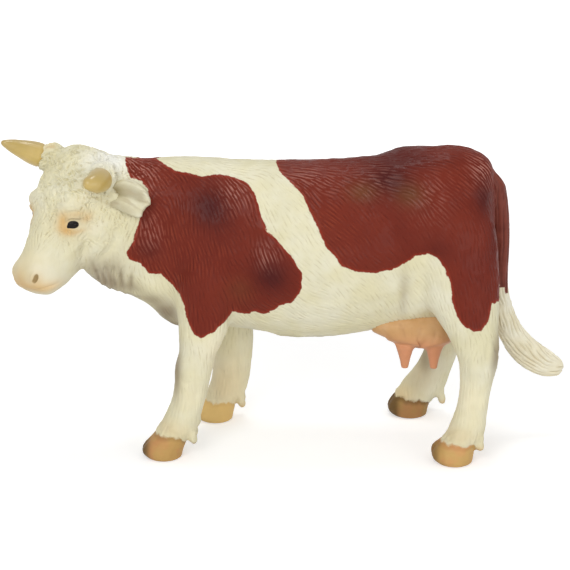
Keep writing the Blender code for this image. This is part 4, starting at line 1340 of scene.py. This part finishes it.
# Udder
# A soft bag with four blunt teats, moulded apart, pegged under the belly and sprayed
# peach. The teats widen to their roots, and fine folds run down the bag.
UDDER_PEACH = rgb(0.565, 0.320, 0.135)
UDDER_CLOUD = rgb(0.640, 0.395, 0.200)
TEAT_PINK = rgb(0.66, 0.29, 0.15)
UDDER_WASH = rgb(0.38, 0.19, 0.09)
udder_paint, nodes, shader, place = paint("peach_udder")
tone = nodes.blended(nodes.layer("teat"), clouded(nodes, UDDER_PEACH, UDDER_CLOUD, 150.0),
                     TEAT_PINK)
varnished(nodes, shader, {"Colour": tone, "Wash": UDDER_WASH, "Depth": 0.45,
                          "Stroke": nodes.layer("fold"), "Mottle": 0.12})
mesh = small_skin("peach_bag", "udder", 0.22 * MM, 16, 0.9 * MM)
points = points_of(mesh)
low = points[:, 2] < 24 * MM
for right in (False, True):
    for rear in (False, True):
        mine = ((points[:, 1] > 0) == right) & ((points[:, 0] > 32 * MM) == rear)
        middle = points[mine & low][:, :2].mean(axis=0)
        offset = points[:, :2] - middle
        close = mine * eased(4.6 * MM, 2.4 * MM, np.linalg.norm(offset, axis=1))
        level = points[:, 2] / MM
        widen = 0.45 * eased(22.0, 27.0, level) * eased(31.0, 27.5, level)
        widen = (widen - 0.16 * eased(23.0, 20.5, level)) * close
        points[:, :2] += offset * widen[:, None]
ahead = eased(30 * MM, 23 * MM, points[:, 0]) * eased(27 * MM, 30 * MM, points[:, 2])
points[:, 0] -= 1.5 * MM * ahead
put_points(mesh, points)
folds = Relief(mesh, tree_of(mesh))
folds.lines(
    MIDDLE,
    (0.6, 0.10, (378, 324), (388, 336), (398, 346)),
    (0.7, 0.12, (396, 317), (403, 330), (405, 344)),
    (0.6, 0.10, (420, 319), (420, 332), (414, 346)),
    (0.7, 0.12, (436, 326), (434, 338), (430, 350)),
    (0.9, 0.12, (410, 346), (420, 349), (430, 350)),
    (0.4, 0.06, (386, 322), (394, 334), (400, 344)),
    (0.4, 0.06, (410, 322), (412, 334), (408, 344)),
    (0.4, 0.06, (442, 332), (440, 340), (436, 348)))
folds.height -= 0.035 * MM * np.clip(1 - 5 * np.abs(uneven(folds.points, 1.6)), 0, 1)
folds.settle()
layer(mesh, "fold", np.clip(-folds.height / (0.26 * MM), 0, 1))
layer(mesh, "teat", eased(31.5 * MM, 25.0 * MM, points_of(mesh)[:, 2]))
set_in("peach_bag", mesh, "udder", udder_paint)

# Tail
# A round tail moulded apart and pegged high between the pin bones, brown like the
# patches, with a cream tassel that flicks out to the rear. Its root is sunk in the rump.
TAIL_GUIDES = (
    (495, 165, 60), (503, 200, 88), (507, 260, 90), (508, 300, 80), (515, 325, 62),
    (530, 345, 46), (548, 362, 26), (560, 372, 12),
)
LOCK_PITCH = 0.74 * MM
LOCK_WIDTH = 0.24 * MM
tail_paint, nodes, shader, place = paint("brown_tail")
brown = clouded(nodes, rgb(0.145, 0.027, 0.015), rgb(0.205, 0.044, 0.026), 150.0)
cream = clouded(nodes, rgb(0.80, 0.73, 0.53), rgb(0.88, 0.84, 0.68), 150.0)
tassel = nodes.between(nodes.layer("tassel"), 0.45, 0.55)
low_tone = nodes.blended(tassel, rgb(0.06, 0.012, 0.008), rgb(0.50, 0.41, 0.24))
varnished(nodes, shader, {"Colour": nodes.blended(tassel, brown, cream), "Wash": low_tone,
                          "Stroke": nodes.layer("stroke"), "Depth": 0.6, "Mottle": 0.10})
mesh = small_skin("brown_tail_rod", "tail", 0.20 * MM, 14, 2.2 * MM)
points = points_of(mesh)
for index in np.flatnonzero(points[:, 2] > 66 * MM):
    place, normal, _, _ = body_tree.find_nearest(Vector(points[index]))
    outward = Vector(points[index]) - place
    if outward.dot(normal) > 0:
        sunk = eased(66 * MM, 73 * MM, points[index, 2])
        points[index] -= np.array(outward + normal * 0.15 * MM) * sunk
put_points(mesh, points)
points, normals = points_of(mesh), normals_of(mesh)
brush = eased(41 * MM, 37 * MM, points[:, 2])
ways = laid(combed(in_picture(points), TAIL_GUIDES, 40), normals)
ways = turned(ways, normals, uneven(points, 3.2) * (0.25 + 0.25 * brush))
locks = Strokes(points, normals, ways, np.where(points[:, 2] > 70 * MM, 0.0, 1.0),
                LOCK_PITCH, (8, 26), np.ones(len(points)), 11)
cut, lip, marks = locks.at(points, LOCK_WIDTH)
depth = (0.14 + 0.26 * brush) * MM
put_points(mesh, points - normals * ((cut - 0.5 * lip) * depth)[:, None])
chance = np.random.default_rng(5).uniform(-1, 1, locks.count + 1)
tall = points_of(mesh)[:, 2]
layer(mesh, "tassel", eased(42 * MM, 38 * MM, tall + 1.6 * MM * chance[marks]))
layer(mesh, "stroke", cut - 0.5 * lip)
set_in("brown_tail_rod", mesh, "tail", tail_paint)

# Floor and light
# A pale table under the figure, a large soft lamp on either side, a small one overhead
# and an even white room. Table and room look brighter than the light they throw.
LAMPS = (("key_lamp", (-0.22, -0.58, 0.42), 0.40, 1.80),
         ("fill_lamp", (0.42, -0.55, 0.06), 0.50, 1.55),
         ("top_lamp", (0.02, 0.10, 0.60), 0.16, 0.6))
WHITE = rgb(1, 1, 1)


def plainly_seen(nodes):
    """Tells the rays that only look at a surface, straight or by a mirror or glass."""
    path = nodes.add("ShaderNodeLightPath").outputs
    return nodes.maths("MAXIMUM", path["Is Camera Ray"], nodes.maths(
        "MAXIMUM", path["Is Glossy Ray"], path["Is Transmission Ray"]))


floor_mesh = bpy.data.meshes.new("floor")
floor_mesh.from_pydata([(-3, -3, 0), (3, -3, 0), (3, 3, 0), (-3, 3, 0)], [],
                       [(0, 1, 2, 3)])
floor = added("floor", floor_mesh)
floor_paint, nodes, shader, place = paint("pale_floor")
shader.inputs["Base Color"].default_value = rgb(0.80, 0.80, 0.80)
shader.inputs["Roughness"].default_value = 0.8
reach = nodes.add("ShaderNodeVectorMath", {0: place}, operation="LENGTH").outputs["Value"]
glow = nodes.add("ShaderNodeEmission", {"Color": WHITE, "Strength": nodes.maths(
    "MULTIPLY", plainly_seen(nodes), nodes.between(reach, 0.06, 0.45, 0.44, 0.80))})
both = nodes.add("ShaderNodeAddShader", {0: shader.outputs[0], 1: glow.outputs[0]})
nodes.set(floor_paint.node_tree.nodes["Material Output"], "Surface", both.outputs[0])
floor_mesh.materials.append(floor_paint)

world = bpy.data.worlds.new("room")
scene.world = world
world.use_nodes = True
nodes = Nodes(world.node_tree)
background = world.node_tree.nodes["Background"]
background.inputs["Color"].default_value = WHITE
nodes.set(background, "Strength", nodes.between(plainly_seen(nodes), 0.0, 1.0, 0.50, 1.0))

for name, place, size, power in LAMPS:
    lamp = added(name, bpy.data.lights.new(name, "AREA"))
    lamp.data.shape = "DISK"
    lamp.data.size = size
    lamp.data.energy = power
    lamp.location = place
    aim = Vector(LOOKED_AT) - Vector(place)
    lamp.rotation_euler = aim.to_track_quat("-Z", "Y").to_euler()

bpy.context.view_layer.update()
